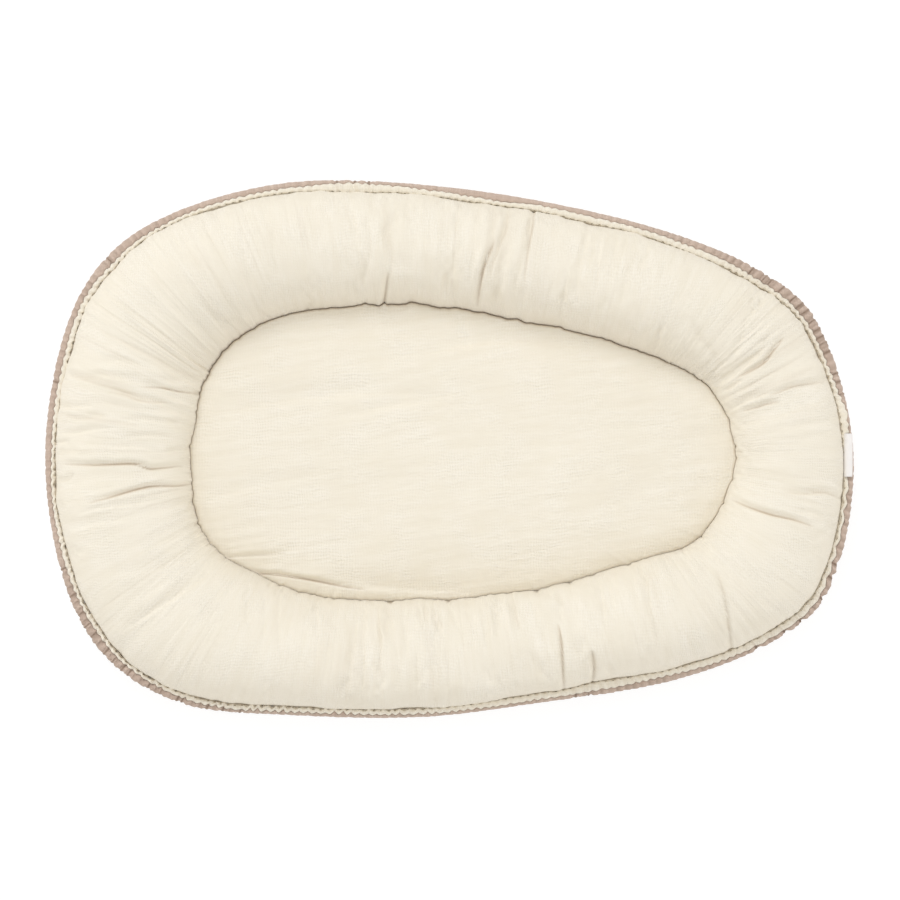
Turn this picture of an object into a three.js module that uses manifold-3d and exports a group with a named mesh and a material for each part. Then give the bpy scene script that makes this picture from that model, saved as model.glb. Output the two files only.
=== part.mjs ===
// Infant lounger: a low nest with a stuffed bolster all round a padded floor.
// Millimetres. +X is the narrow end, +Y is across, +Z is up; z = 0 is the ground.
// The cover is cream double gauze above and taupe double gauze below. The two meet
// at the outer edge in a gathered casing with an elastic inside, and a zip under
// the floor lets the mattress pad out.

import * as THREE from 'three';
import { mergeVertices } from 'three/addons/utils/BufferGeometryUtils.js';
import Module from 'manifold-3d';

const wasm = await Module();
wasm.setup();

// Overall sizes
const loungerLength = 900;
const loungerWidth = 598;
const bolsterHeight = 110;

// Cloth, and the gap between pieces that touch
const clothThickness = 1.4;
const seatGap = 0.3;

// Bolster
const outerSeamHeight = 46;
const groundPress = 6; // how far the round underside is pressed flat by its own weight
const innerCrownFullnessShare = 0.75;
const outerCrownFullnessShare = 0.95;
const underFullnessShare = 0.6;
const foldDepth = 5;
const foldReach = 34; // half the length of ring that one fold draws in
const fillingEase = 0.5;

// Floor and mattress pad
const floorLift = 10; // height of the lower floor cloth above the ground
const mattressThickness = 20;
const mattressEdge = 15; // how far in the rounded edge of the floor reaches
const floorCrown = 1.6;
const slipThickness = 1;
const slipMouth = 130;

// Gathered casing and its elastic
const casingReach = 14;
const casingHeight = 12;
const casingThickness = 1.1;
const gatherDepth = 1.4;
const elasticWidth = 6;
const elasticThickness = 1.2;

// Label
const labelLength = 48;
const labelReach = 10;
const labelThickness = 0.8;

// Zip
const toothPitch = 4.2;
const toothThickness = 2.4;
const toothHold = 1.5; // how far a tooth grips the tape
const toothMesh = 1.4; // how far a tooth reaches over the middle of the chain
const toothTipWidth = 1.9;
const toothRootWidth = 1.4;
const tapeGap = 3.8;
const tapeWidth = 13;
const tapeThickness = 0.6;
const tapeInset = 8.6; // from each end of the tape to the seam round the floor
const tapeTail = 40; // bare tape past each end of the teeth
const stopLength = 3;
const stopWall = 0.9;
const slotWidth = 13.6; // opening between the two floor cloths
const endTabLength = 12;
const endTabWidth = 26;
const endTabCover = 8; // how much of each end of the tape a tab covers

// Zip slider and its pull
const sliderLength = 12;
const sliderFrontWidth = 10.8;
const sliderBackWidth = 9.2;
const wingThickness = 0.9;
const channelClearance = 0.35;
const flangeWidth = 0.9;
const flangeLength = 7.5;
const postLength = 4.2;
const postWidth = 2.4;
const bailWidth = 2.2;
const bailLength = 9;
const bailBar = 1.4;
const bailOpening = 2.3;
const pullLength = 24;
const pullWidth = 7.4;
const pullTipWidth = 5.6;
const pullThickness = 1.4;
const pullEyeLength = 5.4;
const pullEyeWidth = 3.1;
const pullSlotLength = 8;
const pullSlotWidth = 2;

// Facets
const ringSteps = 64;
const casingSteps = ringSteps * 2;
const crownFacets = 6;
const edgeFacets = 3;

// The ring in plan, chosen by hand, anticlockwise from the narrow end. Each row is a
// line across the bolster: outer edge x and y, then inner seam x and y, as shares of
// half the length and half the width.
const ringShares = [
  [0.997, -0.019, 0.707, -0.019],
  [0.898, 0.498, 0.641, 0.230],
  [0.767, 0.665, 0.572, 0.309],
  [0.562, 0.799, 0.475, 0.372],
  [0.273, 0.911, 0.216, 0.476],
  [-0.063, 0.985, -0.073, 0.543],
  [-0.401, 0.993, -0.335, 0.524],
  [-0.675, 0.885, -0.500, 0.439],
  [-0.826, 0.747, -0.564, 0.346],
  [-0.932, 0.513, -0.606, 0.238],
  [-0.998, -0.019, -0.636, -0.019],
  [-0.937, -0.550, -0.616, -0.279],
  [-0.828, -0.799, -0.562, -0.383],
  [-0.653, -0.944, -0.478, -0.457],
  [-0.381, -0.985, -0.322, -0.543],
  [-0.060, -0.991, -0.070, -0.558],
  [0.211, -0.941, 0.162, -0.532],
  [0.564, -0.851, 0.475, -0.409],
  [0.804, -0.706, 0.594, -0.353],
  [0.927, -0.546, 0.648, -0.268],
];

// Where the deeper folds cross the bolster, as shares of the way round the ring
const foldShares = [0.027, 0.049, 0.22, 0.265, 0.466, 0.505, 0.595, 0.81, 0.845, 0.97];

// Half profiles of the casing cloths: shares of its reach and of half its height
const upperCasingShares = [
  [0.03, 0.16],
  [0.3, 0.74],
  [0.56, 0.94],
];
const lowerCasingShares = [
  [0.62, 1],
  [1, 0.35],
  [0.85, -0.8],
  [0.03, -0.16],
];
const zipPlaceShare = -0.16; // where the zip crosses the floor, of half the length

// Heights that follow from the sizes above
const floorClothTop = floorLift + clothThickness;
const tapeMiddle = floorClothTop + seatGap + tapeThickness / 2;
const channelHalf = toothThickness / 2 + channelClearance;
const sliderHalf = channelHalf + wingThickness;
const slipBottom = tapeMiddle + sliderHalf + seatGap;
const coreBottom = slipBottom + slipThickness + seatGap;
const coreTop = coreBottom + mattressThickness;
const floorTop = coreTop + seatGap + slipThickness + seatGap + clothThickness;
const lowerInnerSeam = floorClothTop;
const upperInnerSeam = lowerInnerSeam + 2 * seatGap;
const lowerOuterSeam = outerSeamHeight - seatGap;
const upperOuterSeam = outerSeamHeight + seatGap;

const cream = { color: '#f0eadc', roughness: 0.95, metalness: 0 };
const taupe = { color: '#cdbbac', roughness: 0.95, metalness: 0 };
const white = { color: '#f4f1ec', roughness: 0.9, metalness: 0 };
const resin = { color: '#cbbcae', roughness: 0.45, metalness: 0 };

function ringCurve(column) {
  const points = ringShares.map(
    (row) => new THREE.Vector3(
      (row[column] * loungerLength) / 2,
      (row[column + 1] * loungerWidth) / 2,
      0,
    ),
  );
  return new THREE.CatmullRomCurve3(points, true);
}

const outerEdge = ringCurve(0);
const innerSeam = ringCurve(2);

// One line across the bolster: its start on the inner seam, its direction and width.
function sectionAt(turn) {
  const start = innerSeam.getPoint(turn);
  const across = outerEdge.getPoint(turn).sub(start);
  const width = across.length();
  return { turn, start, along: across.normalize(), width };
}

function sectionsOf(steps) {
  return Array.from({ length: steps }, (_, step) => sectionAt(step / steps));
}

function placed(section, distance, height) {
  const point = section.start.clone().addScaledVector(section.along, distance);
  point.z = height;
  return point;
}

// A quad is split along its shorter diagonal, so that two cloths that lie on each
// other bend along the same lines.
function splitFace(points, [a, b, c, d]) {
  if (d === undefined) return [[a, b, c]];
  return points[a].distanceTo(points[c]) <= points[b].distanceTo(points[d])
    ? [[a, b, c], [a, c, d]]
    : [[a, b, d], [b, c, d]];
}

// A closed mesh from points and quads or triangles, turned to face outwards.
function closedGeometry(points, faces) {
  const triangles = faces.flatMap((face) => splitFace(points, face));
  let volume = 0;
  for (const [a, b, c] of triangles) {
    volume += points[a].dot(new THREE.Vector3().crossVectors(points[b], points[c]));
  }
  const order = volume < 0 ? [0, 2, 1] : [0, 1, 2];
  const geometry = new THREE.BufferGeometry().setFromPoints(points);
  geometry.setIndex(triangles.flatMap((face) => order.map((corner) => face[corner])));
  geometry.computeVertexNormals();
  return geometry;
}

// A closed loop of [distance, height] carried all round the ring.
function ringSweep(sections, loopOf) {
  const loops = sections.map(loopOf);
  const size = loops[0].length;
  const points = loops.flatMap((loop, step) => (
    loop.map(([distance, height]) => placed(sections[step], distance, height))
  ));
  const faces = [];
  for (let step = 0; step < sections.length; step += 1) {
    const next = (step + 1) % sections.length;
    for (let side = 0; side < size; side += 1) {
      const after = (side + 1) % size;
      faces.push([step * size + side, next * size + side, next * size + after, step * size + after]);
    }
  }
  return closedGeometry(points, faces);
}

// The line moved sideways by a distance, with corners mitred. Each end stays at the
// height it has, so that two cloths can meet there face to face.
function movedLine(line, distance) {
  const normals = [];
  for (let k = 0; k + 1 < line.length; k += 1) {
    const [a, z] = line[k];
    const run = line[k + 1][0] - a;
    const rise = line[k + 1][1] - z;
    const size = Math.hypot(run, rise);
    normals.push([rise / size, -run / size]);
  }
  return line.map(([a, z], k) => {
    if (k === 0 || k === line.length - 1) {
      const end = normals[k === 0 ? 0 : k - 1];
      return [a + distance / end[0], z];
    }
    const before = normals[k - 1];
    const after = normals[k];
    const spread = 1 + before[0] * after[0] + before[1] * after[1];
    return [
      a + (distance * (before[0] + after[0])) / spread,
      z + (distance * (before[1] + after[1])) / spread,
    ];
  });
}

function clothLoop(line, thickness) {
  return [...line, ...movedLine(line, thickness).reverse()];
}

const ringLength = outerEdge.getLength();

// How deep the nearest folds draw the crown in at this place on the ring.
function foldAt(turn) {
  let depth = 0;
  for (const place of foldShares) {
    const apart = Math.abs(turn - place);
    const away = Math.min(apart, 1 - apart) * ringLength;
    depth = Math.max(depth, foldDepth * Math.max(0, 1 - away / foldReach));
  }
  return depth;
}

// The upper line climbs from the inner seam over the crown to the outer seam.
function upperLine(section) {
  const reach = section.width - casingReach;
  const crown = bolsterHeight - foldAt(section.turn);
  return Array.from({ length: crownFacets + 1 }, (_, k) => {
    const angle = (Math.PI * k) / crownFacets;
    const inside = 2 * k < crownFacets;
    const seam = inside ? upperInnerSeam : upperOuterSeam;
    const share = inside ? innerCrownFullnessShare : outerCrownFullnessShare;
    const height = seam + (crown - seam) * Math.sin(angle) ** share;
    return [(reach * (1 - Math.cos(angle))) / 2, height];
  });
}

// The lower line drops from the inner seam, lies flat on the ground and climbs again.
function lowerLine(section) {
  const reach = section.width - casingReach;
  return Array.from({ length: crownFacets + 1 }, (_, k) => {
    const angle = (Math.PI * k) / crownFacets;
    const seam = 2 * k < crownFacets ? lowerInnerSeam : lowerOuterSeam;
    const fullness = Math.sin(angle) ** underFullnessShare;
    const height = seam - (seam + groundPress) * fullness;
    return [(reach * (1 - Math.cos(angle))) / 2, Math.max(0, height)];
  });
}

// The filling follows the inside of both cloths and stops short of the seams.
function fillingLoop(section) {
  const inset = clothThickness + fillingEase;
  const over = movedLine(upperLine(section), inset).slice(1, -1);
  const under = movedLine(lowerLine(section), -inset).slice(1, -1);
  return [...over, ...under.reverse()];
}

function toManifold(geometry) {
  const bare = geometry.clone();
  bare.deleteAttribute('normal');
  bare.deleteAttribute('uv');
  const merged = mergeVertices(bare);
  return new wasm.Manifold(new wasm.Mesh({
    numProp: 3,
    vertProperties: new Float32Array(merged.attributes.position.array),
    triVerts: new Uint32Array(merged.index.array),
  }));
}

function fromManifold(solid) {
  const mesh = solid.getMesh();
  const geometry = new THREE.BufferGeometry();
  geometry.setAttribute('position', new THREE.BufferAttribute(mesh.vertProperties, mesh.numProp));
  geometry.setIndex(new THREE.BufferAttribute(mesh.triVerts, 1));
  geometry.computeVertexNormals();
  return geometry;
}

function joined(geometries) {
  const solids = geometries.map(toManifold);
  return fromManifold(solids.reduce((whole, solid) => whole.add(solid)));
}

function cut(geometry, ...tools) {
  const left = tools.reduce((whole, tool) => whole.subtract(toManifold(tool)), toManifold(geometry));
  return fromManifold(left);
}

function box(width, depth, height, x, y, z) {
  return new THREE.BoxGeometry(width, depth, height).translate(x, y, z);
}

// A flat shape in X and Y, given thickness upwards from a height.
function plate(corners, thickness, bottom) {
  const shape = new THREE.Shape(corners.map(([x, y]) => new THREE.Vector2(x, y)));
  const geometry = new THREE.ExtrudeGeometry(shape, { depth: thickness, bevelEnabled: false });
  return geometry.translate(0, 0, bottom);
}

const seamPoints = sectionsOf(ringSteps).map((section) => section.start);
const floorCentre = seamPoints
  .reduce((sum, point) => sum.add(point), new THREE.Vector3())
  .divideScalar(ringSteps);

// The zip runs across the floor from seam to seam, less an inset at each end.
const zipPlace = (zipPlaceShare * loungerLength) / 2;
const seamCrossings = seamPoints.flatMap((point, step) => {
  const next = seamPoints[(step + 1) % ringSteps];
  const share = (zipPlace - point.x) / (next.x - point.x);
  return share >= 0 && share < 1 ? [point.y + (next.y - point.y) * share] : [];
});
const zipMiddle = (Math.max(...seamCrossings) + Math.min(...seamCrossings)) / 2;
const tapeLength = Math.max(...seamCrossings) - Math.min(...seamCrossings) - 2 * tapeInset;
const teeth = Math.floor((tapeLength - 2 * tapeTail) / toothPitch);
const chainEnd = (teeth * toothPitch) / 2;
const sliderRest = chainEnd - toothPitch / 2 + postLength / 2;

// The rounded edge of the floor, an inset below its surface and no lower than a
// bottom: rows of [distance inwards from the seam, height], from the lowest up.
function floorRows(inset, bottom) {
  const climb = floorTop - upperInnerSeam;
  const edge = Array.from({ length: edgeFacets + 1 }, (_, k) => {
    const angle = (Math.PI * k) / (2 * edgeFacets);
    return [
      seatGap + mattressEdge * (1 - Math.cos(angle)),
      upperInnerSeam + climb * Math.sin(angle),
    ];
  });
  const level = [seatGap + 2 * mattressEdge, floorTop];
  const rows = movedLine([...edge, level], inset).slice(0, -1);
  const first = rows.findIndex((row) => row[1] >= bottom);
  if (first <= 0) return rows;
  const [below, above] = [rows[first - 1], rows[first]];
  const share = (bottom - below[1]) / (above[1] - below[1]);
  return [[below[0] + (above[0] - below[0]) * share, bottom], ...rows.slice(first)];
}

// Rows of points round the floor, and a middle row and centre point that close it.
function floorSurface(sections, rows, rimHeight) {
  const rings = rows.map(([distance, height]) => (
    sections.map((section) => placed(section, -distance, height))
  ));
  const last = rings[rings.length - 1];
  const middle = last.map((point) => {
    const halfway = point.clone().add(floorCentre).divideScalar(2);
    halfway.z = rimHeight + floorCrown * (1 - 1 / 4);
    return halfway;
  });
  const centre = new THREE.Vector3(floorCentre.x, floorCentre.y, rimHeight + floorCrown);
  return { rings: [...rings, middle], centre };
}

function capFaces(ring, start, centre) {
  return ring.map((_, step) => [start + step, start + ((step + 1) % ring.length), centre]);
}

function bandFaces(count, lower, upper) {
  return Array.from({ length: count }, (_, step) => {
    const next = (step + 1) % count;
    return [lower + step, lower + next, upper + next, upper + step];
  });
}

// The upper floor cloth: a shallow dome, sewn in all round at the inner seam.
function floorClothGeometry() {
  const sections = sectionsOf(ringSteps);
  const top = floorSurface(sections, floorRows(0, 0), floorTop);
  const under = floorSurface(sections, floorRows(clothThickness, 0), floorTop - clothThickness);
  const rings = [...under.rings.slice().reverse(), ...top.rings];
  const points = [...rings.flat(), under.centre, top.centre];
  const count = sections.length;
  const faces = [];
  for (let row = 0; row + 1 < rings.length; row += 1) {
    faces.push(...bandFaces(count, row * count, (row + 1) * count));
  }
  const flip = (face) => face.slice().reverse();
  faces.push(...capFaces(rings[0], 0, points.length - 2).map(flip));
  faces.push(...capFaces(rings[0], (rings.length - 1) * count, points.length - 1));
  return closedGeometry(points, faces);
}

// A slab that fills the floor to an inset below its surface, with a flat bottom.
function padGeometry(inset, bottom) {
  const sections = sectionsOf(ringSteps);
  const top = floorSurface(sections, floorRows(inset, bottom), floorTop - inset);
  const count = sections.length;
  const foot = new THREE.Vector3(floorCentre.x, floorCentre.y, bottom);
  const points = [...top.rings.flat(), foot, top.centre];
  const faces = [];
  for (let row = 0; row + 1 < top.rings.length; row += 1) {
    faces.push(...bandFaces(count, row * count, (row + 1) * count));
  }
  faces.push(...capFaces(top.rings[0], 0, points.length - 2).map((face) => face.reverse()));
  faces.push(...capFaces(top.rings[0], (top.rings.length - 1) * count, points.length - 1));
  return closedGeometry(points, faces);
}

// The slip is a bag round the foam, open like a pillowcase at the wide end.
function slipGeometry() {
  const outer = clothThickness + seatGap;
  const inner = outer + slipThickness;
  const cavityBottom = slipBottom + slipThickness;
  const wideEnd = innerSeam.getPoint(1 / 2).x;
  const mouthHeight = mattressThickness / 2;
  const mouth = box(
    2 * mattressEdge,
    slipMouth,
    mouthHeight,
    wideEnd,
    floorCentre.y,
    cavityBottom + mouthHeight / 2 + slipThickness,
  );
  return cut(padGeometry(outer, slipBottom), padGeometry(inner, cavityBottom), mouth);
}

// Half of the lower floor cloth, with a straight edge beside the zip.
function lowerFloorGeometry(side) {
  const rim = sectionsOf(ringSteps).map((section) => placed(section, -seatGap, 0));
  const whole = plate(rim.map((point) => [point.x, point.y]), clothThickness, floorLift);
  const away = side * loungerLength;
  const tool = box(
    2 * loungerLength + slotWidth,
    2 * loungerWidth,
    2 * clothThickness + 2 * floorLift,
    zipPlace - away,
    0,
    floorLift,
  );
  return cut(whole, tool);
}

// The casing cloths are drawn up on the elastic, so every other step dips inwards.
function casingLoop(section, shares, dip) {
  const base = section.width - casingReach;
  const line = shares.map(([reachShare, heightShare]) => {
    const drawn = dip * reachShare;
    return [
      base + reachShare * casingReach - drawn,
      outerSeamHeight + (heightShare * (casingHeight - drawn)) / 2,
    ];
  });
  const middle = [base + casingReach / 2, outerSeamHeight];
  const inside = line.map(([a, z]) => {
    const away = Math.hypot(a - middle[0], z - middle[1]);
    const keep = (away - casingThickness) / away;
    return [middle[0] + (a - middle[0]) * keep, middle[1] + (z - middle[1]) * keep];
  });
  return [...line, ...inside.reverse()];
}

function casingGeometry(shares) {
  const sections = sectionsOf(casingSteps);
  return ringSweep(sections, (section) => {
    const odd = Math.round(section.turn * casingSteps) % 2;
    return casingLoop(section, shares, odd * gatherDepth);
  });
}

function elasticLoop(section) {
  const middle = section.width - casingReach / 2;
  const half = elasticWidth / 2;
  const rise = elasticThickness / 2;
  return [
    [middle - half, outerSeamHeight - rise],
    [middle + half, outerSeamHeight - rise],
    [middle + half, outerSeamHeight + rise],
    [middle - half, outerSeamHeight + rise],
  ];
}

function labelGeometry() {
  const narrowEnd = outerEdge.getPoint(0);
  return box(
    labelReach,
    labelLength,
    labelThickness,
    narrowEnd.x - labelReach / 2 - gatherDepth,
    narrowEnd.y,
    outerSeamHeight + casingHeight / 2 + seatGap + labelThickness / 2,
  );
}

// Zip pieces below are drawn round the middle of the chain, which runs along Y.

// One tape with its moulded teeth. Each tooth widens to its tip, so that the two
// rows lock when they mesh.
function stringerGeometry(side) {
  const inner = tapeGap / 2;
  const pieces = [
    box(tapeWidth, tapeLength, tapeThickness, side * (inner + tapeWidth / 2), 0, 0),
  ];
  const first = (-(teeth - 1) * toothPitch) / 2 + (side * toothPitch) / 4;
  const root = side * (inner + toothHold);
  const tip = -side * toothMesh;
  for (let tooth = 0; tooth < teeth; tooth += 1) {
    const y = first + tooth * toothPitch;
    const corners = [
      [root, y - toothRootWidth / 2],
      [tip, y - toothTipWidth / 2],
      [tip, y + toothTipWidth / 2],
      [root, y + toothRootWidth / 2],
    ];
    const ordered = side > 0 ? corners.reverse() : corners;
    pieces.push(plate(ordered, toothThickness, -toothThickness / 2));
  }
  return joined(pieces);
}

// A stop is crimped round the tape edges: two jaws and a web, drawn end on.
function stopGeometry(web, grips) {
  const jaw = tapeThickness / 2 + seatGap;
  const bite = tapeGap / 2 + toothHold;
  const half = jaw + stopWall;
  const from = grips.includes(-1) ? -bite : web[0];
  const to = grips.includes(1) ? bite : web[1];
  const block = box(to - from, stopLength, 2 * half, (from + to) / 2, 0, 0);
  const slots = grips.map((side) => {
    const edge = side > 0 ? web[1] : web[0];
    return box(2 * bite, stopLength * 2, 2 * jaw, edge + side * bite, 0, 0);
  });
  return cut(block, ...slots);
}

function bottomStopGeometry() {
  const web = tapeGap / 2 - seatGap;
  return stopGeometry([-web, web], [-1, 1]);
}

function topStopGeometry(side) {
  const near = side * (tapeGap / 2 - seatGap);
  const far = near - side * stopWall;
  return stopGeometry([Math.min(near, far), Math.max(near, far)], [side]);
}

// The slider: two wings joined by a wedge post in front, with flanges that keep the
// teeth in the channel, and a bail underneath for the pull.
function sliderGeometry() {
  const front = sliderLength / 2;
  const back = -sliderLength / 2;
  const shoulder = front - postLength;
  const wing = [
    [-sliderBackWidth / 2, back],
    [sliderBackWidth / 2, back],
    [sliderFrontWidth / 2, shoulder],
    [sliderFrontWidth / 2 - wingThickness, front],
    [-sliderFrontWidth / 2 + wingThickness, front],
    [-sliderFrontWidth / 2, shoulder],
  ];
  const post = [
    [0, front - postLength],
    [postWidth / 2, front - postLength / 2],
    [0, front],
    [-postWidth / 2, front - postLength / 2],
  ];
  const pieces = [
    plate(wing, wingThickness, channelHalf),
    plate(wing, wingThickness, -sliderHalf),
    plate(post, 2 * sliderHalf - wingThickness, -sliderHalf + wingThickness / 2),
  ];
  const lip = channelHalf - tapeThickness / 2 - seatGap;
  const edge = tapeGap / 2 + toothHold + channelClearance + flangeWidth / 2;
  for (const side of [-1, 1]) {
    for (const level of [-1, 1]) {
      const middle = level * (channelHalf - lip / 2 + wingThickness / 4);
      const height = lip + wingThickness / 2;
      pieces.push(
        box(flangeWidth, flangeLength, height, side * edge, back + flangeLength / 2, middle),
      );
    }
  }
  pieces.push(bailGeometry());
  return joined(pieces);
}

// The bail is an arch in the Y and Z plane, open below the lower wing.
function bailGeometry() {
  const half = bailLength / 2;
  const inner = half - bailBar;
  const depth = bailOpening + bailBar;
  const sunk = wingThickness / 2;
  const arch = new THREE.Shape([
    new THREE.Vector2(-half, sunk),
    new THREE.Vector2(-inner, sunk),
    new THREE.Vector2(-inner, -bailOpening),
    new THREE.Vector2(inner, -bailOpening),
    new THREE.Vector2(inner, sunk),
    new THREE.Vector2(half, sunk),
    new THREE.Vector2(half, -bailOpening),
    new THREE.Vector2(inner, -depth),
    new THREE.Vector2(-inner, -depth),
    new THREE.Vector2(-half, -bailOpening),
  ]);
  const geometry = new THREE.ExtrudeGeometry(arch, { depth: bailWidth, bevelEnabled: false });
  geometry.rotateX(Math.PI / 2).rotateZ(Math.PI / 2);
  return geometry.translate(-bailWidth / 2, 0, -sliderHalf);
}

// The pull hangs on the bail by its cross bar, which lies at the origin here.
function pullGeometry() {
  const head = pullThickness / 2;
  const bevel = pullWidth / 4;
  const tip = -pullLength;
  const shape = new THREE.Shape([
    [-pullWidth / 2 + bevel, head],
    [-pullWidth / 2, head - bevel],
    [-pullTipWidth / 2, tip + bevel],
    [-pullTipWidth / 2 + bevel, tip],
    [pullTipWidth / 2 - bevel, tip],
    [pullTipWidth / 2, tip + bevel],
    [pullWidth / 2, head - bevel],
    [pullWidth / 2 - bevel, head],
  ].map(([x, y]) => new THREE.Vector2(x, y)));
  const window = (width, top, bottom) => new THREE.Path([
    new THREE.Vector2(-width / 2, top),
    new THREE.Vector2(width / 2, top),
    new THREE.Vector2(width / 2, bottom),
    new THREE.Vector2(-width / 2, bottom),
  ]);
  const slotBottom = tip + pullTipWidth / 2;
  shape.holes.push(window(pullEyeWidth, -head, -head - pullEyeLength));
  shape.holes.push(window(pullSlotWidth, slotBottom + pullSlotLength, slotBottom));
  const geometry = new THREE.ExtrudeGeometry(shape, { depth: pullThickness, bevelEnabled: false });
  return geometry.translate(0, 0, -pullThickness / 2);
}

function piece(name, geometry, finish) {
  const mesh = new THREE.Mesh(geometry, new THREE.MeshStandardMaterial(finish));
  mesh.name = name;
  return mesh;
}

const lounger = new THREE.Group();
const ring = sectionsOf(ringSteps);

lounger.add(
  piece('upper_bolster_panel', ringSweep(ring, (section) => (
    clothLoop(upperLine(section), clothThickness)
  )), cream),
  piece('lower_bolster_panel', ringSweep(ring, (section) => (
    clothLoop(lowerLine(section), -clothThickness)
  )), taupe),
  piece('bolster_filling', ringSweep(ring, fillingLoop), white),
  piece('upper_floor_panel', floorClothGeometry(), cream),
  piece('lower_floor_panel_wide_end', lowerFloorGeometry(-1), taupe),
  piece('lower_floor_panel_narrow_end', lowerFloorGeometry(1), taupe),
  piece('mattress_slip', slipGeometry(), white),
  piece('mattress_core', padGeometry(
    clothThickness + slipThickness + 2 * seatGap,
    coreBottom,
  ), white),
  piece('upper_edge_casing', casingGeometry(upperCasingShares), cream),
  piece('lower_edge_casing', casingGeometry(lowerCasingShares), taupe),
  piece('edge_elastic', ringSweep(ring, elasticLoop), white),
  piece('side_label', labelGeometry(), white),
);

// The zip lies on the lower floor cloths, with its closed end towards +Y.
const zip = new THREE.Group();
zip.position.set(zipPlace, zipMiddle, tapeMiddle);

zip.add(
  piece('zip_stringer_wide_end', stringerGeometry(-1), taupe),
  piece('zip_stringer_narrow_end', stringerGeometry(1), taupe),
);

const bottomStop = piece('zip_bottom_stop', bottomStopGeometry(), resin);
bottomStop.position.y = -chainEnd - stopLength / 2 - seatGap;
zip.add(bottomStop);

for (const [side, place] of [[-1, 'wide_end'], [1, 'narrow_end']]) {
  const stop = piece(`zip_top_stop_${place}`, topStopGeometry(side), resin);
  stop.position.y = sliderRest + sliderLength / 2 + stopLength / 2 + seatGap;
  zip.add(stop);
}

for (const [side, place] of [[-1, 'bottom'], [1, 'top']]) {
  const tab = piece(
    `zip_end_tab_${place}`,
    new THREE.BoxGeometry(endTabWidth, endTabLength, clothThickness),
    taupe,
  );
  tab.position.y = side * (tapeLength / 2 - endTabCover + endTabLength / 2);
  tab.position.z = floorLift - seatGap - clothThickness / 2 - tapeMiddle;
  zip.add(tab);
}

const slider = new THREE.Group();
slider.position.y = sliderRest;
slider.add(piece('zip_slider', sliderGeometry(), resin));
const pull = piece('zip_pull', pullGeometry(), resin);
pull.position.z = -sliderHalf - bailOpening / 2;
slider.add(pull);
zip.add(slider);
lounger.add(zip);

// The origin stands under the middle of the whole outline.
const reachBox = new THREE.Box3().setFromObject(lounger);
const middle = reachBox.getCenter(new THREE.Vector3());
lounger.position.set(-middle.x, -middle.y, 0);

export default lounger;
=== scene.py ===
import math

import bpy
import numpy as np
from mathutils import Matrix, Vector


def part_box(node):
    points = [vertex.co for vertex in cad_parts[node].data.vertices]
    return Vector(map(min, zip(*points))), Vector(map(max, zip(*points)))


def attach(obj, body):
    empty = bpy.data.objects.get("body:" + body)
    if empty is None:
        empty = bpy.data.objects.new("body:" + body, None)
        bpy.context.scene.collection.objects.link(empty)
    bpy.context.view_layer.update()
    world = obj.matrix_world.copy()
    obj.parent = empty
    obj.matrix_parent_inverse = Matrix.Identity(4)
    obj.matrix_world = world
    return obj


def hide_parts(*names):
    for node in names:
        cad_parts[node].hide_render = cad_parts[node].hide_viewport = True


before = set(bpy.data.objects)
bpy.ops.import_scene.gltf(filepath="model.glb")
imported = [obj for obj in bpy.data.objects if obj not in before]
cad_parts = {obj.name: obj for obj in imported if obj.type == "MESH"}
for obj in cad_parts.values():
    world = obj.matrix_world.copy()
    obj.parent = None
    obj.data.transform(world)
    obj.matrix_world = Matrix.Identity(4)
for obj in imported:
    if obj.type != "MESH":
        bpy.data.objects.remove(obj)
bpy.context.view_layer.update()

# The looks of an infant lounger, in metres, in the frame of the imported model.
# The pieces are grids of points round the bolster, from the left end (-X) and
# anticlockwise seen from above, or over the floor.

print("stage: measuring the frame")

mm = 0.001

photo = {
    "middle": (450.0, 450.0),      # pixels
    "origin": (449.3, 449.0),      # pixels: where the frame's origin lies
    "pixelsPerMetre": 900.0,
    "planeHeight": 46 * mm,        # the height at which that scale holds
    "lens": 150.0,
    "sensor": 36.0,
}
photo["distance"] = 900 / photo["pixelsPerMetre"] * photo["lens"] / photo["sensor"]
photo["eye"] = [
    (photo["middle"][0] - photo["origin"][0]) / photo["pixelsPerMetre"],
    (photo["origin"][1] - photo["middle"][1]) / photo["pixelsPerMetre"],
]


def inPhoto(points):
    # where points show in the photograph, in pixels
    depth = photo["distance"] - (points[..., 2] - photo["planeHeight"])
    grow = photo["distance"] / depth * photo["pixelsPerMetre"]
    x = photo["middle"][0] + (points[..., 0] - photo["eye"][0]) * grow
    y = photo["middle"][1] - (points[..., 1] - photo["eye"][1]) * grow
    return np.stack([x, y], -1)


def nodePoints(name):
    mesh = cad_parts[name].data
    points = np.empty(3 * len(mesh.vertices))
    mesh.vertices.foreach_get("co", points)
    return np.unique(np.round(points.reshape(-1, 3), 6), axis=0)


def seamLoop(points, height, outer):
    # the cloth's two edges at a seam, sorted round the ring; one of the two is kept
    rim = points[np.abs(points[:, 2] - height) < 0.2 * mm]
    rim = rim[np.argsort(np.arctan2(rim[:, 1], rim[:, 0]))].reshape(-1, 2, 3)
    far = np.argmax(np.hypot(rim[..., 0], rim[..., 1]), 1)
    pick = far if outer else 1 - far
    return rim[np.arange(len(rim)), pick][:, :2]


def between(rows, count, closed):
    # rows of points taken again at another count, on a smooth curve through them
    last = len(rows) if closed else len(rows) - 1
    place = np.arange(count) / (count if closed else count - 1) * last
    k = np.minimum(np.floor(place).astype(int), last - 1)
    w = (place - k).reshape(-1, *[1] * (rows.ndim - 1))
    near = [k + step for step in (-1, 0, 1, 2)]
    near = [i % len(rows) if closed else np.clip(i, 0, last) for i in near]
    a, b, c, d = (rows[i] for i in near)
    return b + 0.5 * w * (c - a + w * (2 * a - 5 * b + 4 * c - d + w * (3 * (b - c) + d - a)))


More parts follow.
